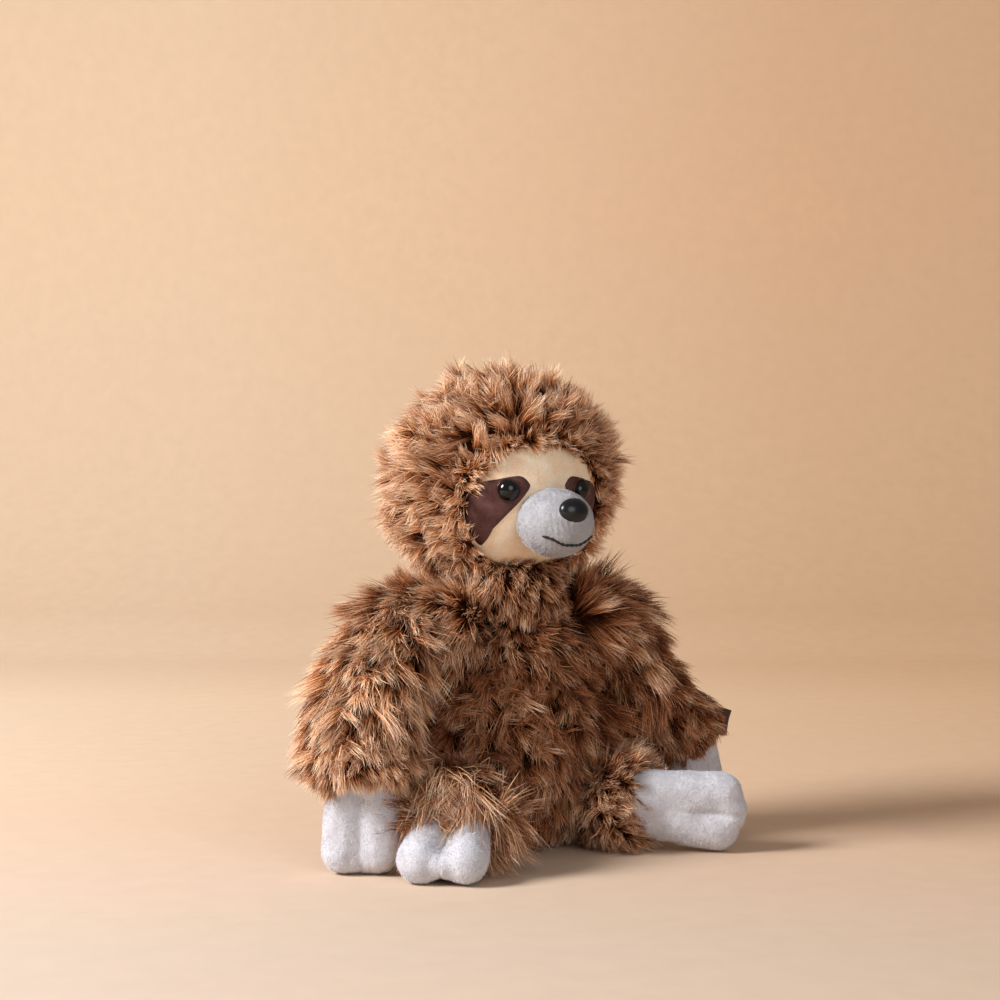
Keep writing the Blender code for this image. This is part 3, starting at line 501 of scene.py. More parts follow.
def strands_mesh(points, width, tone, facing):
    """Tapered ribbons along points (strand, level, xyz), each with its tone and its colour layout."""
    count, levels = points.shape[:2]
    ahead = unit(np.gradient(points, axis=1))
    across = unit(np.cross(ahead, facing[:, None, :]))
    shares = np.array([0.85] + [1.0 - 0.35 * k / (levels - 1) for k in range(1, levels - 1)])
    reach = width[:, None, None] * shares[None, :, None] / 2
    left = points[:, :-1] - across[:, :-1] * reach
    right = points[:, :-1] + across[:, :-1] * reach
    body = np.stack((left, right), axis=2).reshape(count, -1, 3)
    verts = np.concatenate((body, points[:, -1:, :]), axis=1)
    per = verts.shape[1]
    quads = levels - 2
    corners = []
    for k in range(quads):
        corners += [2 * k, 2 * k + 1, 2 * k + 3, 2 * k + 2]
    corners += [2 * quads, 2 * quads + 1, 2 * quads + 2]
    corners = np.array(corners)
    loops = (corners[None, :] + (np.arange(count) * per)[:, None]).ravel()
    sizes = np.tile(np.array([4] * quads + [3]), count)
    starts = np.concatenate(([0], np.cumsum(sizes)[:-1]))
    mesh = bpy.data.meshes.new("strands")
    mesh.vertices.add(count * per)
    mesh.vertices.foreach_set("co", verts.astype(np.float32).ravel())
    mesh.loops.add(len(loops))
    mesh.loops.foreach_set("vertex_index", loops.astype(np.int32))
    mesh.polygons.add(len(sizes))
    mesh.polygons.foreach_set("loop_start", starts.astype(np.int32))
    level_of = np.concatenate((np.repeat(np.arange(levels - 1), 2), [levels - 1]))
    side_of = np.concatenate((np.tile([-1, 1], levels - 1), [0]))
    u = 0.06 + 0.88 * np.clip(tone, 0, 1)[:, None] + 0.02 * side_of[corners][None, :]
    v = np.broadcast_to(0.03 + 0.94 * level_of[corners] / (levels - 1), u.shape)
    uv = np.stack((u, v), axis=-1).astype(np.float32).ravel()
    for layer in ("OFBake", "strand"):
        mesh.uv_layers.new(name=layer).data.foreach_set("uv", uv)
    mesh.update()
    mesh.validate()
    mesh.shade_smooth()
    return mesh


def at(value, points):
    """A value that is one number, or a function of the place."""
    return value(points) if callable(value) else value


def run(origin, normal, lie, lifted, reach, curl, droop):
    """Points along strands that leave their roots at an angle, lie down further out and curl aside."""
    fall = at(droop, origin)
    start = lie * np.cos(lifted)[:, None] + normal * np.sin(lifted)[:, None]
    side = np.cross(normal, lie)
    points = [origin]
    spans = STRAND_POINTS - 1
    step = reach / spans
    for k in range(spans):
        t = (k + 0.5) / spans
        way = start + lie * (0.75 * np.cos(lifted) * t)[:, None] + side * (curl * t)[:, None]
        way[:, 2] -= fall * t
        points.append(points[-1] + unit(way) * step[:, None])
    return np.stack(points, axis=1)


def grow(name, body, skin, density, flow, length, seed, keep, lift, tone, clump=34, spread=0.6, droop=0.3):
    """Fur in locks on a skin: flow gives the lie, length the length and lift the rise at each root."""
    rng = np.random.default_rng(seed)
    area = sum(face.area for face in skin.data.polygons)
    roots, normals = scatter(skin.data, int(area * 1e6 * density), rng)
    kept = keep(roots, normals)
    roots, normals = roots[kept], normals[kept]
    count = len(roots)

    # One guide for each lock, and the guide nearest to each root
    pick = rng.choice(count, max(count // clump, 1), replace=False)
    locks = len(pick)
    tree = KDTree(locks)
    for index, root in enumerate(pick):
        tree.insert(roots[root], index)
    tree.balance()
    near = np.array([tree.find(root)[1] for root in roots])
    lie = tangent(flow(roots), normals)
    guide_side = np.cross(normals[pick], lie[pick])
    turn = rng.normal(0, spread, locks)
    rise = at(lift, roots[pick]) + rng.normal(0, LOCK_LIFT, locks)
    guide_lift = np.radians(np.clip(rise, *LIFT_LIMITS))
    guide_lie = lie[pick] * np.cos(turn)[:, None] + guide_side * np.sin(turn)[:, None]
    guide_length = length(roots[pick]) * rng.uniform(*LOCK_REACH, locks)
    guide_curl = rng.normal(0, LOCK_CURL, locks)
    drifted = tone + TONE_DRIFT * wobble(roots[pick], 0.03, seed + 1)
    guide_tone = np.clip(drifted + rng.normal(0, LOCK_TONE, locks), 0, 1)
    guides = run(roots[pick], normals[pick], guide_lie, guide_lift, guide_length, guide_curl, droop)

    # Each strand's own way
    lifted = guide_lift[near] + np.radians(rng.normal(0, STRAND_LIFT, count))
    own_turn = rng.normal(0, STRAND_TURN, count)
    own_side = np.cross(normals, lie)
    own_lie = tangent(unit(guide_lie[near] + own_side * own_turn[:, None]), normals)
    reach = guide_length[near] * rng.uniform(*STRAND_REACH, count)
    own_curl = guide_curl[near] + rng.normal(0, STRAND_CURL, count)
    own = run(roots, normals, own_lie, lifted, reach, own_curl, droop)

    # The strands drawn towards their guide, most at the tip
    offset = (roots - roots[pick][near])[:, None, :]
    t = np.linspace(0, 1, STRAND_POINTS)[None, :, None]
    share = reach[:, None, None] / guide_length[near][:, None, None]
    guide = guides[near]
    along = np.clip(t * share, 0, 1) * (STRAND_POINTS - 1)
    low = np.minimum(np.floor(along).astype(int), STRAND_POINTS - 2)
    part = along - low
    rows = np.arange(count)[:, None]
    target = guide[rows, low[:, :, 0]] * (1 - part) + guide[rows, low[:, :, 0] + 1] * part
    pinch = rng.uniform(*PINCH, locks)[near][:, None, None]
    target = target + offset * (1 - pinch * t)
    loose = np.where(rng.random(count) < LOOSE, LOOSE_HOLD, 1.0)
    hold = GATHER * smooth(t * 1.3) * (rng.uniform(*HOLD, count) * loose)[:, None, None]
    points = own * (1 - hold) + target * hold
    points = points + rng.normal(0, 1, points.shape) * (t * FRIZZ)
    lowest = FLOOR_AIR + 0.0006 * rng.random((count, 1))
    points[:, :, 2] = np.maximum(points[:, :, 2], lowest)

    twist = unit(np.cross(normals, own_lie))
    facing = unit(normals * 0.8 + own_lie * -0.3 + twist * rng.normal(0, 0.6, count)[:, None])
    tones = np.clip(guide_tone[near] + rng.normal(0, STRAND_TONE, count), 0, 1)
    widths = STRAND_WIDTH * rng.uniform(0.7, 1.25, count)
    groups = max(1, math.ceil(count / (MOST_TRIANGLES // (2 * STRAND_POINTS - 3))))
    for group in range(groups):
        mine = slice(group * count // groups, (group + 1) * count // groups)
        label = name if groups == 1 else "%s_%d" % (name, group + 1)
        piece(label, strands_mesh(points[mine], widths[mine], tones[mine], facing[mine]), FUR, body, "fur")


def fuzz(name, body, skin, seed, length=0.0009, look=NAP, keep=None):
    """Short nap: fine pointed fibres that stand on a plush piece."""
    rng = np.random.default_rng(seed)
    area = sum(face.area for face in skin.data.polygons)
    roots, normals = scatter(skin.data, int(area * 1e6 * NAP_DENSITY), rng)
    if keep is not None:
        kept = keep(roots)
        roots, normals = roots[kept], normals[kept]
    count = len(roots)
    lie = tangent(drift(roots, 0.008, seed) + np.array((0, 0, -1.2)), normals)
    way = unit(0.5 * normals + 0.8 * lie + rng.normal(0, 0.25, (count, 3)))
    reach = length * rng.uniform(0.5, 1.2, count)[:, None]
    bend = unit(way + 0.5 * rng.normal(0, 0.5, (count, 3)))
    knee = roots + way * reach * NAP_BEND
    points = np.stack((roots - normals * NAP_ROOT, knee, knee + bend * reach * (1 - NAP_BEND)), axis=1)
    points[:, :, 2] = np.maximum(points[:, :, 2], 0.0004)
    facing = unit(normals + rng.normal(0, 0.2, (count, 3)))
    widths = NAP_WIDTH * rng.uniform(0.7, 1.3, count)
    tones = np.clip(0.5 + 0.16 * wobble(roots, 0.012, seed + 7) + rng.normal(0, 0.1, count), 0, 1)
    piece(name, strands_mesh(points, widths, tones, facing), look, body, "grey_plush")


def skin_piece(name, mesh, body, node=None):
    """Cloth that carries fur."""
    return piece(name, mesh, BACKING_SHADE, body, "fur", node, 0.7)


# Body

def egg_rings(inset, rows=28, sides=48):
    """Rings of the body, fuller than a ball, most of all below."""
    half_width, half_depth = BODY_HALF[0] - inset, BODY_HALF[1] - inset
    above, below = BODY_TOP_Z - inset - BODY_WIDEST_Z, BODY_WIDEST_Z - inset
    cos, sin = circle(sides)
    rings = []
    for row in range(1, rows):
        polar = math.pi * row / rows
        height = math.cos(polar)
        square, tall = (0.86, above) if height > 0 else (0.62, below)
        out = math.sin(polar) ** square
        z = BODY_WIDEST_Z + math.copysign(abs(height) ** square, height) * tall
        rings.append(xyz(out * half_width * cos, out * half_depth * sin, z))
    return rings


def route(side):
    """The arm's middle line, from shoulder to cuff."""
    sign = SIDES[side]
    start, bend, end = sided(SHOULDER, sign), sided(ELBOW[side], sign), sided(WRIST[side], sign)
    share = np.linspace(0, 1, 15)[:, None]
    first = start * (1 - share) + bend * share
    second = bend * (1 - share) + end * share
    curve = first * (1 - share) + second * share
    return np.vstack((curve, curve[-1] + unit(curve[-1] - curve[-2]) * 0.003))


def leg_way(side):
    return np.array((math.sin(LEG_SPLAY) * SIDES[side], -math.cos(LEG_SPLAY), 0))


def near_route(points, line):
    """Distance from each point to a line of points."""
    return np.min(np.linalg.norm(points[:, None, :] - line[None, :, :], axis=2), axis=1)


def make_body():
    skin = skin_piece("body_cloth", loft(egg_rings(BODY_CLOTH)), "body", "body_fur")
    arms = [route(side)[:5] for side in SIDES]
    legs = [sided(HIP, sign) + leg_way(side) * np.linspace(0, LEG_ANKLE, 6)[:, None]
            for side, sign in SIDES.items()]

    def keep(roots, normals):
        kept = roots[:, 2] > 0.004
        for lines, room in ((arms, 0.015), (legs, 0.012)):
            for line in lines:
                kept &= near_route(roots, line) > room
        return kept

    def flank(roots):
        """The left side under the arm, whose locks fill the crook."""
        return smooth((roots[:, 0] - 0.026) / 0.010) * smooth((0.090 - roots[:, 2]) / 0.02)

    def flow(roots):
        out = roots * np.array((1, 1, 0))
        return np.array((0, 0, -1)) + out * 6 + drift(roots, 0.05, 11) * 0.55

    def length(roots):
        chin = smooth((roots[:, 2] - 0.106) / 0.014) * smooth((0.01 - roots[:, 1]) / 0.02)
        return 0.0190 + 0.003 * wobble(roots, 0.06, 14) + 0.012 * flank(roots) - 0.006 * chin

    def lift(roots):
        return 34 + 24 * smooth((roots[:, 2] - 0.095) / 0.025) + 22 * flank(roots)

    # The body's fur takes the darkest tone: painted shade on the torso.
    grow("body_pile", "body", skin, 2.3, flow, length, 21, keep, lift, spread=0.8, tone=0.0)


# Head

def egg_front(centre, half, x, z):
    """Where the front of an egg stands in Y, at places in X and Z."""
    share = 1 - ((x - centre[0]) / half[0]) ** 2 - ((z - centre[2]) / half[2]) ** 2
    return centre[1] - half[1] * np.sqrt(np.maximum(share, 0))


def skull_front(x, z, grown=0.0):
    return egg_front(SKULL, SKULL_HALF + grown, x, z)


def face_normal(x, z):
    offset = np.array((x, skull_front(x, z), z)) - SKULL
    return unit(offset / SKULL_HALF ** 2)


def face_share(points):
    """How far out of the face opening's middle, 1 on its edge, for points on the front."""
    return np.hypot(points[:, 0] / FACE_HALF[0], (points[:, 2] - FACE_Z) / FACE_HALF[1])


def outward(roots, normals):
    """Roots on the hood's outer face, not on its lining or the edge of its opening."""
    return np.sum((roots - SKULL) * normals, axis=1) > 0


def make_head():
    """Hood with an oval opening for the face, whose edge turns in to the panel, and its fur."""
    def in_opening(face):
        middle = face.calc_center_median()
        share = math.hypot(middle.x / FACE_HALF[0], (middle.z - FACE_Z) / FACE_HALF[1])
        return middle.y < SKULL[1] and share < 1

    def cut(shape):
        bmesh.ops.delete(shape, geom=[face for face in shape.faces if in_opening(face)], context="FACES")
        for vert in shape.verts:
            if vert.is_boundary:
                angle = math.atan2((vert.co.z - FACE_Z) / FACE_HALF[1], vert.co.x / FACE_HALF[0])
                vert.co.x = FACE_HALF[0] * math.cos(angle)
                vert.co.z = FACE_Z + FACE_HALF[1] * math.sin(angle)
                vert.co.y = skull_front(vert.co.x, vert.co.z, HOOD_GAP)

    mesh = loft(ball(SKULL, SKULL_HALF + HOOD_GAP, 40, 64))
    edited(mesh, cut)
    co = coords(mesh)
    out = smooth((face_share(co) - 1) / 0.5)
    out[co[:, 1] > SKULL[1]] = 1
    place(mesh, co + unit(co - SKULL) * (HOOD_LIFT * out)[:, None])
    skin = add("hood_cloth", mesh)
    modified(skin, "SOLIDIFY", thickness=CLOTH, offset=-1)
    dress(skin, BACKING_SHADE, "head", "fur", "head_fur", 0.7)

    def rim(roots):
        """The fur round the face, 1 at the opening."""
        return smooth((1.45 - face_share(roots)) / 0.4) * (roots[:, 1] < SKULL[1])

    def keep(roots, normals):
        front = roots[:, 1] < SKULL[1]
        under = (roots[:, 2] < NECK[2] + 0.02) & (np.hypot(roots[:, 0], roots[:, 1]) < 0.024)
        return outward(roots, normals) & ~(front & (face_share(roots) < 1.02)) & ~under

    def flow(roots):
        back = smooth((roots[:, 1] + 0.03) / 0.07)[:, None]
        down = np.array((0, 0.15, -1)) * back
        return unit(roots - FACE_MIDDLE) * (1.5 - 1.0 * back) + down + drift(roots, 0.045, 31) * 0.4

    def length(roots):
        front = smooth((-0.02 - roots[:, 1]) / 0.03)
        return 0.0172 - 0.0022 * front - 0.0030 * rim(roots) + 0.002 * wobble(roots, 0.05, 34)

    def lift(roots):
        near, far = smooth((0.010 - roots[:, 0]) / 0.020), smooth((roots[:, 0] - 0.010) / 0.020)
        return 44 - 14 * rim(roots) * near + 10 * rim(roots) * far

    grow("head_pile", "head", skin, 2.4, flow, length, 41, keep, lift, spread=0.8, tone=0.66, droop=0.2)
    make_face_edge(skin)
    make_neck()


def make_face_edge(skin):
    """Short paler tufts along the edge of the face, some of them leaning over it."""
    def keep(roots, normals):
        share = face_share(roots)
        return outward(roots, normals) & (roots[:, 1] < SKULL[1]) & (share > 0.99) & (share < 1.13)

    def flow(roots):
        far = smooth((roots[:, 0] - 0.008) / 0.016)[:, None]
        near = smooth((-roots[:, 0] - 0.020) / 0.008)[:, None]
        return drift(roots, 0.016, 36) * 1.6 + unit(roots - FACE_MIDDLE) * (0.25 - 0.9 * far - 0.7 * near)

    def length(roots):
        below = smooth((FACE_Z - 0.018 - roots[:, 2]) / 0.008)
        return 0.0092 + 0.002 * wobble(roots, 0.02, 39) - 0.0035 * below

    grow("face_edge_pile", "head", skin, 4.0, flow, length, 43, keep, 50, spread=0.8, tone=0.85, clump=18,
         droop=0.0)


def make_neck():
    """Fur-covered ball of the neck, round its pivot, so that the head turns on it without a gap."""
    skin = skin_piece("neck_cloth", loft(ball(NECK, (NECK_BALL,) * 3, 20, 40)), "head")

    def keep(roots, normals):
        return (roots[:, 2] > NECK[2] - 0.010) & (roots[:, 2] < NECK[2] + 0.020)

    def flow(roots):
        return (roots - NECK) * np.array((1, 1, 0)) * 30 + np.array((0, 0, -0.6))

    def length(roots):
        return 0.0165 - 0.006 * (roots[:, 1] < 0)

    grow("neck_pile", "head", skin, 2.2, flow, length, 47, keep, 48, tone=0.4)


# Face

def outlined(table, steps=6):
    """Closed smooth curve through a table of places."""
    table = np.array(table, float)
    points = []
    count = len(table)
    for index in range(count):
        before, here, after, beyond = (table[(index + k) % count] for k in (-1, 0, 1, 2))
        for step in range(steps):
            t = step / steps
            points.append((2 * here + (after - before) * t
                           + (2 * before - 5 * here + 4 * after - beyond) * t ** 2
                           + (3 * here - before - 3 * after + beyond) * t ** 3) / 2)
    return np.array(points)


def skin_disc(outline, height, thickness, rows=14, puff=0.0):
    """Cloth cut to an outline in X and Z, laid on the face at a height, rounded at its edge."""
    middle = outline.mean(axis=0)

    def ring(share, *off):
        flat = middle + (outline - middle) * share
        y = skull_front(flat[:, 0], flat[:, 1]) - height
        for out in off:
            y = y - out
        return xyz(flat[:, 0], y, flat[:, 1])

    front = [ring(share, thickness * math.sqrt(max(1 - share ** 10, 0)), puff * (1 - share ** 2))
             for share in (row / rows for row in range(rows, 0, -1))]
    back = [ring(row / rows, -0.0004) for row in range(1, rows + 1, 3)]
    return loft(back + front)


def make_face():
    cos, sin = circle(72)
    outline = np.stack((cos * (FACE_HALF[0] + 0.003), FACE_Z + sin * (FACE_HALF[1] + 0.003)), axis=1)
    panel = skin_disc(outline, 0.0, CLOTH, 22, 0.0005)
    piece("face_cloth", panel, CREAM, "head", "cream_cloth", "face_panel", 0.8)
    shares = outlined(PATCH)
    for side, sign in SIDES.items():
        outline = np.stack((EYE_X * sign - shares[:, 0] * sign * PATCH_LENGTH,
                            EYE_Z + shares[:, 1] * PATCH_LENGTH), axis=1)
        patch = skin_disc(outline, 0.0012, 0.0010, 9)
        piece("patch_cloth_" + side, patch, PLUM, "head", "plum_cloth", "eye_patch_" + side, 0.5)
        make_eye(side, sign)
    make_muzzle()
    make_nose()
    make_mouth()


def turned(profile, seat, way, squash=1.0, sides=48):
    """Surface turned round Z from (radius, height) pairs, then stood on its seat along a direction."""
    cos, sin = circle(sides)
    mesh = loft([xyz(radius * cos, radius * squash * sin, height) for radius, height in profile])
    turn = way.to_track_quat("Z", "Y").to_matrix().to_4x4()
    mesh.transform(Matrix.Translation(Vector(seat)) @ turn)
    return mesh


def make_eye(side, sign):
    x, z = EYE_X * sign, EYE_Z
    normal = face_normal(x, z)
    seat = np.array((x, skull_front(x, z), z)) + normal * 0.0018
    dome = [(EYE_RADIUS * 0.5, -0.006), (EYE_RADIUS * 0.86, -0.001)]
    for step in range(15):
        angle = math.pi / 2 * step / 15
        dome.append((EYE_RADIUS * 0.9 * math.cos(angle), EYE_BULGE * math.sin(angle)))
    dome.append((EYE_RADIUS * 0.03, EYE_BULGE * 0.9995))
    rim = [(EYE_RADIUS * 0.93 + 0.0005 * math.cos(a), 0.0002 + 0.0005 * math.sin(a))
           for a in np.linspace(-math.pi * 0.9, math.pi * 0.9, 12)]
    way = Vector(normal)
    piece("eye_dome_" + side, turned(dome, seat, way), BLACK, "head", "black_plastic", "eye_" + side)
    piece("eye_rim_" + side, turned(rim, seat, way), RIM, "head", "black_plastic")


def muzzle_front(x, z, grown=0.0):
    return egg_front(MUZZLE, MUZZLE_HALF + grown, x, z)


def make_muzzle():
    # An egg with its poles in front and behind
    lying = [0, 2, 1]
    egg = ball(0, MUZZLE_HALF[lying] * (1, 1, -1), 110, 160)
    mesh = loft([ring[:, lying] + MUZZLE for ring in egg])
    co, normals = coords(mesh), normals_of(mesh)
    push = 0.00022 * wobble(co, 0.012, 51) + 0.00016 * wobble(co, 0.0026, 52, 2)
    groove = np.exp(-(co[:, 0] / 0.0011) ** 2) * smooth((MUZZLE[2] + 0.002 - co[:, 2]) / 0.004) \
        * smooth((co[:, 2] - MUZZLE[2] + 0.013) / 0.004) * (co[:, 1] < MUZZLE[1])
    push -= 0.0005 * groove
    place(mesh, co + normals * push[:, None])
    muzzle = piece("muzzle_plush", mesh, MUZZLE_GREY_SHADED, "head", "grey_plush", "muzzle", 0.9)

    def keep(roots):
        """In front of the face, and not under the nose."""
        x, y, z = roots.T
        return (y < skull_front(x, z) - 0.0005) & (np.hypot(x / 0.0074, (z - NOSE_Z) / 0.0058) > 1)

    fuzz("muzzle_nap", "head", muzzle, 61, 0.0007, MUZZLE_NAP_SHADED, keep)


def make_nose():
    dome = []
    for step in range(1, 28):
        angle = math.pi * step / 28
        dome.append((NOSE_HALF[0] * math.sin(angle), NOSE_HALF[2] * math.cos(angle)))
    seat = (0, muzzle_front(0, NOSE_Z) + 0.0012, NOSE_Z)
    bead = turned(dome, seat, Vector((0, -1, 0.12)).normalized(), NOSE_HALF[1] / NOSE_HALF[0])
    piece("nose_bead", bead, NOSE_BLACK, "head", "black_plastic", "nose")


def make_mouth():
    """Back stitches along the smile, each a plump thread that dips into the cloth at its ends."""
    stations = np.linspace(-1, 1, 12)
    x = stations * MOUTH_HALF
    bow = np.sin(math.pi * 0.55 * (np.abs(stations) - 0.12)) ** 2
    sag = (1 - np.abs(stations)) * np.abs(stations) * 0.5
    z = MUZZLE[2] - 0.0104 + 0.0042 * (bow - sag)
    knots = xyz(x, muzzle_front(x, z, 0.0003), z)
    share = np.linspace(-0.08, 1.08, 9)
    lift = np.sin(np.clip(share, 0, 1) * math.pi) ** 0.5
    dip = np.array((0, -1, 0)) * (0.0004 * lift - 0.0002)[:, None]
    stitches = [tube_rings(start + (end - start) * share[:, None] + dip, 0.00072 * (0.5 + 0.5 * lift), 10)
                for start, end in zip(knots[:-1], knots[1:])]
    mesh = joined(stitches)
    mesh.shade_smooth()
    piece("mouth_thread", mesh, STITCH, "head", "black_thread", "mouth_stitch")


# Arms and legs

def cap(centre, way, radius, steps):
    """Places and radii of a round end, from its tip inwards."""
    angles = [math.pi / 2 * (step + 0.4) / steps for step in range(steps)]
    return [(centre + way * radius * math.cos(angle), radius * math.sin(angle)) for angle in angles]


def limb_cloth(limb, side, line, radii):
    """Cloth of a limb: a ball behind the first place, rings along the line, rounded at the end."""
    stations = cap(line[0], unit(line[0] - line[1]), radii[0], 5) + list(zip(line, radii))
    onward = unit(line[-1] - line[-2])
    for step in range(1, 5):
        angle = math.pi / 2 * step / 5
        stations.append((line[-1] + onward * 0.006 * math.sin(angle), radii[-1] * math.cos(angle)))
    mesh = loft(tube_rings(*zip(*stations), 36))
    return skin_piece("%s_cloth_%s" % (limb, side), mesh, "%s_%s" % (limb, side), "%s_fur_%s" % (limb, side))


def make_arm(side, sign):
    line = route(side)
    left = float(side == "left")
    length_along = np.concatenate(([0], np.cumsum(np.linalg.norm(np.diff(line, axis=0), axis=1))))
    share = smooth(length_along / length_along[-1] / 0.75)
    radii = (ARM_ROOT - ARM_CLOTH) + (ARM_CUFF - ARM_ROOT - 0.0035 * left) * share
    inward = np.array((-math.cos(SWING_YAW) * sign, -math.sin(SWING_YAW), 0))
    line = np.vstack((line[0] + inward * 0.018, line[0] + inward * 0.009, line))
    radii = np.concatenate((radii[:1], radii[:1], radii))
    skin = limb_cloth("arm", side, line, radii)
    onward = unit(line[-1] - line[-2])
    label = node_middle("sewn_label")

    def along_of(roots):
        gaps = np.linalg.norm(roots[:, None, :] - line[None, :, :], axis=2)
        return np.argmin(gaps, axis=1)

    def cuff(roots):
        return smooth((along_of(roots) - len(line) + 5) / 4)

    def outer(roots):
        """The left arm's far side, where the pile lies flat round the label."""
        return left * smooth((roots[:, 0] - 0.070) / 0.016) * smooth((0.118 - roots[:, 2]) / 0.02)

    def inner(roots):
        """The left arm's side towards the body, whose locks fill the crook."""
        return left * smooth((0.080 - roots[:, 0]) / 0.014) * smooth((0.100 - roots[:, 2]) / 0.02)

    def keep(roots, normals):
        return (roots - line[-1]) @ onward < 0.0045

    def flow(roots):
        index = np.clip(along_of(roots), 0, len(line) - 2)
        return unit(line[index + 1] - line[index]) + drift(roots, 0.04, 71) * 0.32 + np.array((0, 0, -0.4))

    def length(roots):
        near_label = left * smooth((0.020 - np.linalg.norm(roots - label, axis=1)) / 0.008)
        base = 0.0225 + 0.0025 * wobble(roots, 0.05, 74) - 0.0096 * cuff(roots)
        return base - 0.0055 * outer(roots) - 0.002 * near_label + 0.011 * inner(roots)

    def lift(roots):
        top = smooth((roots[:, 2] - 0.112) / 0.014)
        rise = 29 + 42 * cuff(roots) * (1 - 0.7 * outer(roots)) + 12 * top
        return rise - 16 * outer(roots) + 28 * inner(roots)

    # The left arm's fur takes a dark tone as painted shade, and the right arm's a pale tone as painted
    # light.
    grow("arm_pile_" + side, "arm_" + side, skin, 2.4, flow, length, 81 + sign, keep, lift, clump=44,
         tone=0.06 if left else 0.76, spread=0.42)


def make_leg(side, sign):
    """Leg; the right one's locks fall over its foot, and the left one's stand back from it."""
    right = side == "right"
    hip, way = sided(HIP, sign), leg_way(side)
    line = hip + way * np.linspace(0, LEG_ANKLE + (0.006 if right else -0.005), 9)[:, None]
    share = smooth(np.linspace(0, 1, 9) / 0.75)
    radii = (LEG_ROOT - LEG_CLOTH) + (LEG_CUFF - LEG_ROOT) * share
    line = np.vstack((hip - way * 0.014, line))
    radii = np.concatenate((radii[:1], radii))
    skin = limb_cloth("leg", side, line, radii)

    def over(roots):
        """The cuff, 1 on its top, whose locks can fall over the foot."""
        top = smooth((roots[:, 2] - HIP[2] - 0.002) / 0.012)
        return smooth(((roots - hip) @ way - 0.016) / 0.014) * (0.7 + 0.3 * top)

    def keep(roots, normals):
        return (roots - line[-1]) @ way < 0.0056

    def flow(roots):
        return way + drift(roots, 0.035, 91) * 0.6

    def length(roots):
        return 0.0165 + 0.002 * wobble(roots, 0.04, 94) + (0.0205 if right else -0.0085) * over(roots)

    def lift(roots):
        near_cuff = smooth(((roots - hip) @ way - 0.016) / 0.016)
        return 42 + (4 if right else 40) * near_cuff - (36 if right else 0) * over(roots)

    def droop(roots):
        return 0.2 + 1.4 * over(roots)

    grow("leg_pile_" + side, "leg_" + side, skin, 2.8, flow, length, 101 + sign, keep, lift, tone=0.55,
         droop=droop if right else 0.15)


# Hands and feet

def foot_frame(side):
    roll = FOOT_ROLL[side]
    half_height = 0.011 + 0.010 * math.sin(roll)
    drop = math.asin((HIP[2] + 0.0005 - half_height) / (FOOT_LENGTH - 0.011))
    along = Matrix.Rotation(FOOT_TURN_OUT[side] * SIDES[side], 3, "Z") @ Vector(leg_way(side))
    heading = along * math.cos(drop) + Vector((0, 0, -math.sin(drop)))
    level = heading.cross(Vector((0, 0, 1))).normalized()
    upright = level.cross(heading).normalized()
    turn = Matrix((level, upright, -heading)).transposed().to_4x4()
    return turn @ Matrix.Rotation(roll * SIDES[side], 4, "Z")


def capsule(start, end, first, second, steps=10):
    """Rings of a straight sausage with round ends."""
    start, end = np.array(start), np.array(end)
    ahead = unit(end - start)
    stations = cap(start, -ahead, first, 6)
    for step in range(steps + 1):
        share = step / steps
        stations.append((start + (end - start) * share, first + (second - first) * smooth(share * 1.2)))
    return tube_rings(*zip(*stations, *cap(end, ahead, second, 6)[::-1]), 20)


def inflate(obj, held):
    """Blow the cloth of a stuffed piece up round the stitches that hold it in."""
    before = coords(obj.data)
    group = obj.vertex_groups.new(name="held")
    for index, weight in enumerate(held):
        if weight > 0.01:
            group.add([index], float(weight), "REPLACE")
    cloth = obj.modifiers.new("Cloth", "CLOTH")
    for key, value in dict(quality=6, mass=0.001, tension_stiffness=12, compression_stiffness=12,
                           shear_stiffness=6, bending_stiffness=0.3, vertex_group_mass="held",
                           use_pressure=True, uniform_pressure_force=PRESSURE).items():
        setattr(cloth.settings, key, value)
    cloth.settings.effector_weights.gravity = 0
    cloth.collision_settings.use_collision = False
    scene = bpy.context.scene
    for number in range(1, LAST_FRAME + 1):
        scene.frame_set(number)
    graph = bpy.context.evaluated_depsgraph_get()
    move = coords(obj.evaluated_get(graph).data) - before
    obj.modifiers.clear()
    obj.vertex_groups.clear()
    scene.frame_set(1)
    size = np.linalg.norm(move, axis=1, keepdims=True)
    place(obj.data, before + move * np.minimum(1, MOST_PUFF / np.maximum(size, 1e-9)))


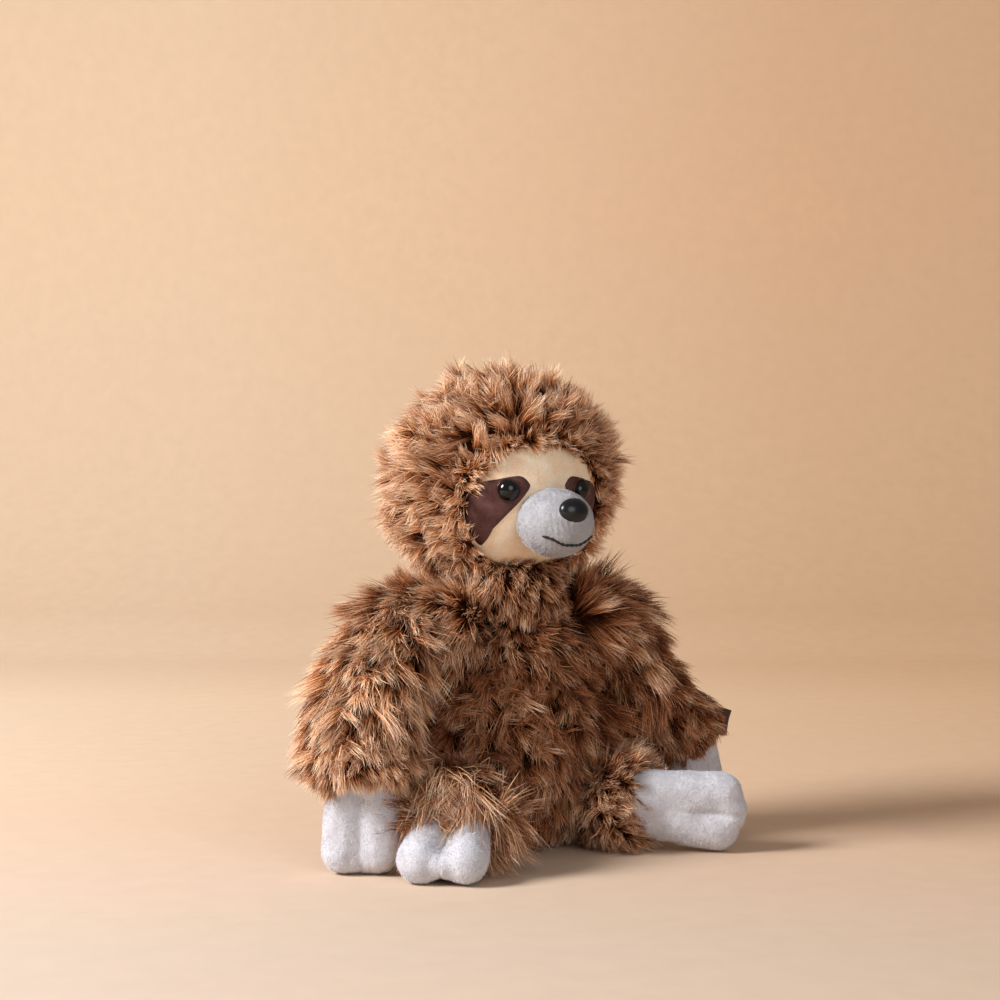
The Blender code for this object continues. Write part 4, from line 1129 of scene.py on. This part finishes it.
def make_mitten(limb, side, pivot, turn, sizes, web, seed):
    """Stuffed plush hand or foot of two digits, with its drawn-in seam and the web between the tips."""
    body = limb + "_" + side
    root_radius, digit_radius, spread, length = sizes
    web_radius, web_short, crease, crease_start = web
    pieces = [capsule((0, 0, 0.002), (0, 0, -0.006), root_radius * 0.94, root_radius * 0.90, 4)]
    for sign in (-1, 1):
        size = digit_radius * (0.92 if sign == SIDES[side] else 1)
        start = sign * spread * 0.7
        pieces.append(capsule((start, 0, 0), (sign * spread, 0, -length + size), size * 0.92, size - 0.0005))
    pieces.append(capsule((0, 0, 0), (0, 0, -length + web_radius + web_short), web_radius * 0.8, web_radius))

    def soften(shape):
        for _ in range(4):
            bmesh.ops.smooth_vert(shape, verts=shape.verts, factor=0.5, use_axis_x=True, use_axis_y=True,
                                  use_axis_z=True)

    obj = add("%s_plush_%s" % (limb, side), joined(pieces))
    modified(obj, "REMESH", mode="VOXEL", voxel_size=VOXEL)
    edited(obj.data, soften)

    co = coords(obj.data)
    below = smooth((-0.010 - co[:, 2]) / 0.008)
    between = np.exp(-(co[:, 0] / 0.0013) ** 2) * below
    side_seam = np.exp(-(co[:, 1] / 0.0009) ** 2) * below * (np.abs(co[:, 0]) > spread * 0.9)
    held = np.clip(between * 0.8 + side_seam * 0.95 + smooth((co[:, 2] + 0.006) / 0.004), 0, 1)
    held[held < 0.5] = 0
    inflate(obj, held)

    co, normals = coords(obj.data), normals_of(obj.data)
    deepening = 0.008 if crease_start < 0.015 else 0.012
    hollow = np.exp(-(co[:, 0] / 0.0042) ** 2) * smooth((co[:, 2] + length - 0.001) / 0.012) \
        * smooth((-crease_start - co[:, 2]) / deepening)
    stitches = 1 + 0.3 * np.sin(co[:, 2] / 0.0022 * 6.283)
    seam = 0.0009 * between + crease * hollow - 0.00035 * side_seam * stitches
    lump = 0.00035 * wobble(co, 0.016, seed) + 0.0001 * wobble(co, 0.004, seed + 1)
    place(obj.data, co + normals * (lump - seam)[:, None])
    modified(obj, "SUBSURF", levels=1, render_levels=1)
    obj.data.transform(Matrix.Translation(Vector(pivot)) @ turn)

    # Where it would sink into the floor it flattens softly
    co = coords(obj.data)
    flat = SETTLE + SETTLE_SOFT
    sunk = np.clip(flat - co[:, 2], 0, None)
    co[:, 2] = np.where(co[:, 2] < flat, SETTLE + SETTLE_SOFT * np.exp(-sunk / SETTLE_SOFT), co[:, 2])
    place(obj.data, co)
    obj.data.shade_smooth()
    dress(obj, GREY, body, "grey_plush", body, 0.8)
    fuzz("%s_nap_%s" % (limb, side), body, obj, seed + 5)


def make_hands_and_feet():
    for side, sign in SIDES.items():
        tilt = HAND_TILT[side]
        turn = Matrix.Rotation(HAND_YAW * sign, 4, "Z") @ Matrix.Rotation(-tilt * sign, 4, "Y")
        sizes = (*HAND_SIZES, (WRIST[side][2] + 0.0005 - 0.010) / math.cos(tilt) + 0.010)
        make_mitten("hand", side, sided(WRIST[side], sign), turn, sizes, WEB["hand"], 120 + sign)
        ankle = sided(HIP, sign) + leg_way(side) * LEG_ANKLE
        make_mitten("foot", side, ankle, foot_frame(side), FOOT_SIZES[side], WEB[side], 130 + sign)


# Label

def make_label():
    """Bare ribbon that stands out of the left cuff, slightly waved."""
    reach, width = LABEL_SIZE
    start = ARM_CUFF - ARM_PILE + 0.0006
    columns, rows = 12, 14
    points = []
    for j in range(rows + 1):
        for i in range(columns + 1):
            out = reach * i / columns
            up = width * (j / rows - 0.5)
            wave = 0.0007 * math.sin(out / reach * 3.0) + 0.0004 * math.sin(up / width * 5.0 + 1)
            points.append((start + out, wave, up))
    across = columns + 1
    faces = [(k, k + 1, k + across + 1, k + across)
             for k in (j * across + i for j in range(rows) for i in range(columns))]
    mesh = bpy.data.meshes.new("label_ribbon")
    mesh.from_pydata(points, [], faces)
    obj = add("label_ribbon", mesh)
    modified(obj, "SOLIDIFY", thickness=0.0006, offset=0)
    middle = Vector(node_middle("sewn_label")) + Vector((-0.0015, 0, -0.002))
    centre = Vector((start + reach / 2, 0, 0))
    obj.data.transform(Matrix.Translation(middle) @ Matrix.Rotation(LABEL_YAW, 4, "Z")
                       @ Matrix.Rotation(LABEL_TILT, 4, "Y") @ Matrix.Translation(-centre))
    obj.data.shade_smooth()
    dress(obj, LABEL, "arm_left", "brown_label", "sewn_label")


def dress_inner_pieces():
    """Looks of the CAD pieces that stay: filling, pouch, washers and closing seams."""
    looks = {"stuffing": FILLING, "pouch": FILLING, "washer": WHITE, "seam": BROWN_THREAD}
    for name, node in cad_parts.items():
        look = next((looks[word] for word in looks if word in name), None)
        if look:
            node.data.materials.clear()
            node.data.materials.append(look)


# Setting

def make_backdrop(ahead, right):
    """Paper sweep behind the toy, warm above and pale on the floor, with painted light on the wall, lighter
    to the left, and painted shade on the floor, darker and bluer towards the camera.
    """
    bend = [(1.05 + 0.55 * math.sin(a), 0.55 - 0.55 * math.cos(a)) for a in np.linspace(0, math.pi / 2, 24)]
    profile = [(-2.5, 0.0), *bend, (1.6, 2.6)]
    points = [ahead * depth + right * across + Vector((0, 0, height))
              for depth, height in profile for across in (-3, 3)]
    faces = [(k, k + 1, k + 3, k + 2) for k in range(0, 2 * len(profile) - 2, 2)]
    mesh = bpy.data.meshes.new("backdrop")
    mesh.from_pydata(points, [], faces)
    mesh.shade_smooth()
    backdrop = add("backdrop", mesh)
    shader = Shader("backdrop_paper", 0.95, specular=0.05)

    def along(way, first, last):
        """How far a place lies along a direction, from 0 to 1 between two distances."""
        reach = shader.node("VectorMath", operation="DOT_PRODUCT")
        shader.link(shader.place(), reach.inputs[0])
        reach.inputs[1].default_value = tuple(way)
        span = shader.node("MapRange", **{"From Min": first, "From Max": last})
        shader.link(reach.outputs["Value"], span.inputs["Value"])
        return span.outputs["Result"]

    grain = shader.ramp(shader.noise(60, 5), (0.3, (250, 250, 250)), (0.7, (255, 255, 255)))
    # Painted light: the wall is lighter to the left and darker to the right.
    paper = shader.ramp(along(right, -0.4, 0.4),
                        (0.0, (253, 225, 196)), (0.5, (252, 219, 186)), (1.0, (248, 210, 173)))
    # Painted shade: the floor is darker and bluer towards the camera.
    floor = shader.ramp(along(ahead, -0.23, 0.69),
                        (0.0, (213, 222, 237)), (0.33, (225, 225, 230)), (1.0, (247, 251, 255)))
    level = shader.mix(along((0, 0, 1), 0, 0.04), floor, linear((235, 235, 235)))
    shader.colour(shader.mix(1.0, shader.mix(1.0, paper, grain, "MULTIPLY"), level, "MULTIPLY"))
    backdrop.data.materials.append(shader.material)


def aim(name, data, spot, target):
    """Light or camera that looks from one place at another."""
    obj = bpy.data.objects.new(name, data)
    bpy.context.scene.collection.objects.link(obj)
    obj.location = spot
    obj.rotation_euler = (target - spot).to_track_quat("-Z", "Y").to_euler()
    return obj


def make_setting():
    scene = bpy.context.scene
    ahead = Vector((math.sin(AZIMUTH), math.cos(AZIMUTH), 0))
    right = Vector((math.cos(AZIMUTH), -math.sin(AZIMUTH), 0))
    make_backdrop(ahead, right)

    world = bpy.data.worlds.new("studio")
    world.use_nodes = True
    sky = world.node_tree.nodes["Background"].inputs
    sky["Color"].default_value = (1.0, 0.96, 0.92, 1)
    sky["Strength"].default_value = 0.24
    scene.world = world

    for name, where, size, power, colour in (("key", (-1.5, -0.7, 1.1), 0.8, 58, (1.0, 0.98, 0.96)),
                                             ("fill", (0.7, -1.7, 0.7), 1.2, 9, (1.0, 0.97, 0.94))):
        lamp = bpy.data.lights.new(name, "AREA")
        lamp.shape, lamp.size, lamp.energy, lamp.color = "DISK", size, power, colour
        spot = right * where[0] + ahead * where[1] + Vector((0, 0, where[2]))
        aim(name, lamp, spot, Vector((0, 0, 0.12)))

    level = Vector((0, 0, CAMERA_HEIGHT))
    target = level - right * (AIM_OFF[0] / FOCAL) - Vector((0, 0, AIM_OFF[1] / FOCAL))
    camera = aim("camera", bpy.data.cameras.new("camera"), level - ahead * CAMERA_AWAY, target)
    camera.data.sensor_width = SENSOR
    camera.data.lens = FOCAL / FRAME * SENSOR
    camera.data.clip_start = 0.01
    scene.camera = camera
    scene.view_settings.view_transform = "Standard"


make_setting()
make_body()
make_head()
make_face()
for side, sign in SIDES.items():
    make_arm(side, sign)
    make_leg(side, sign)
make_hands_and_feet()
make_label()
dress_inner_pieces()
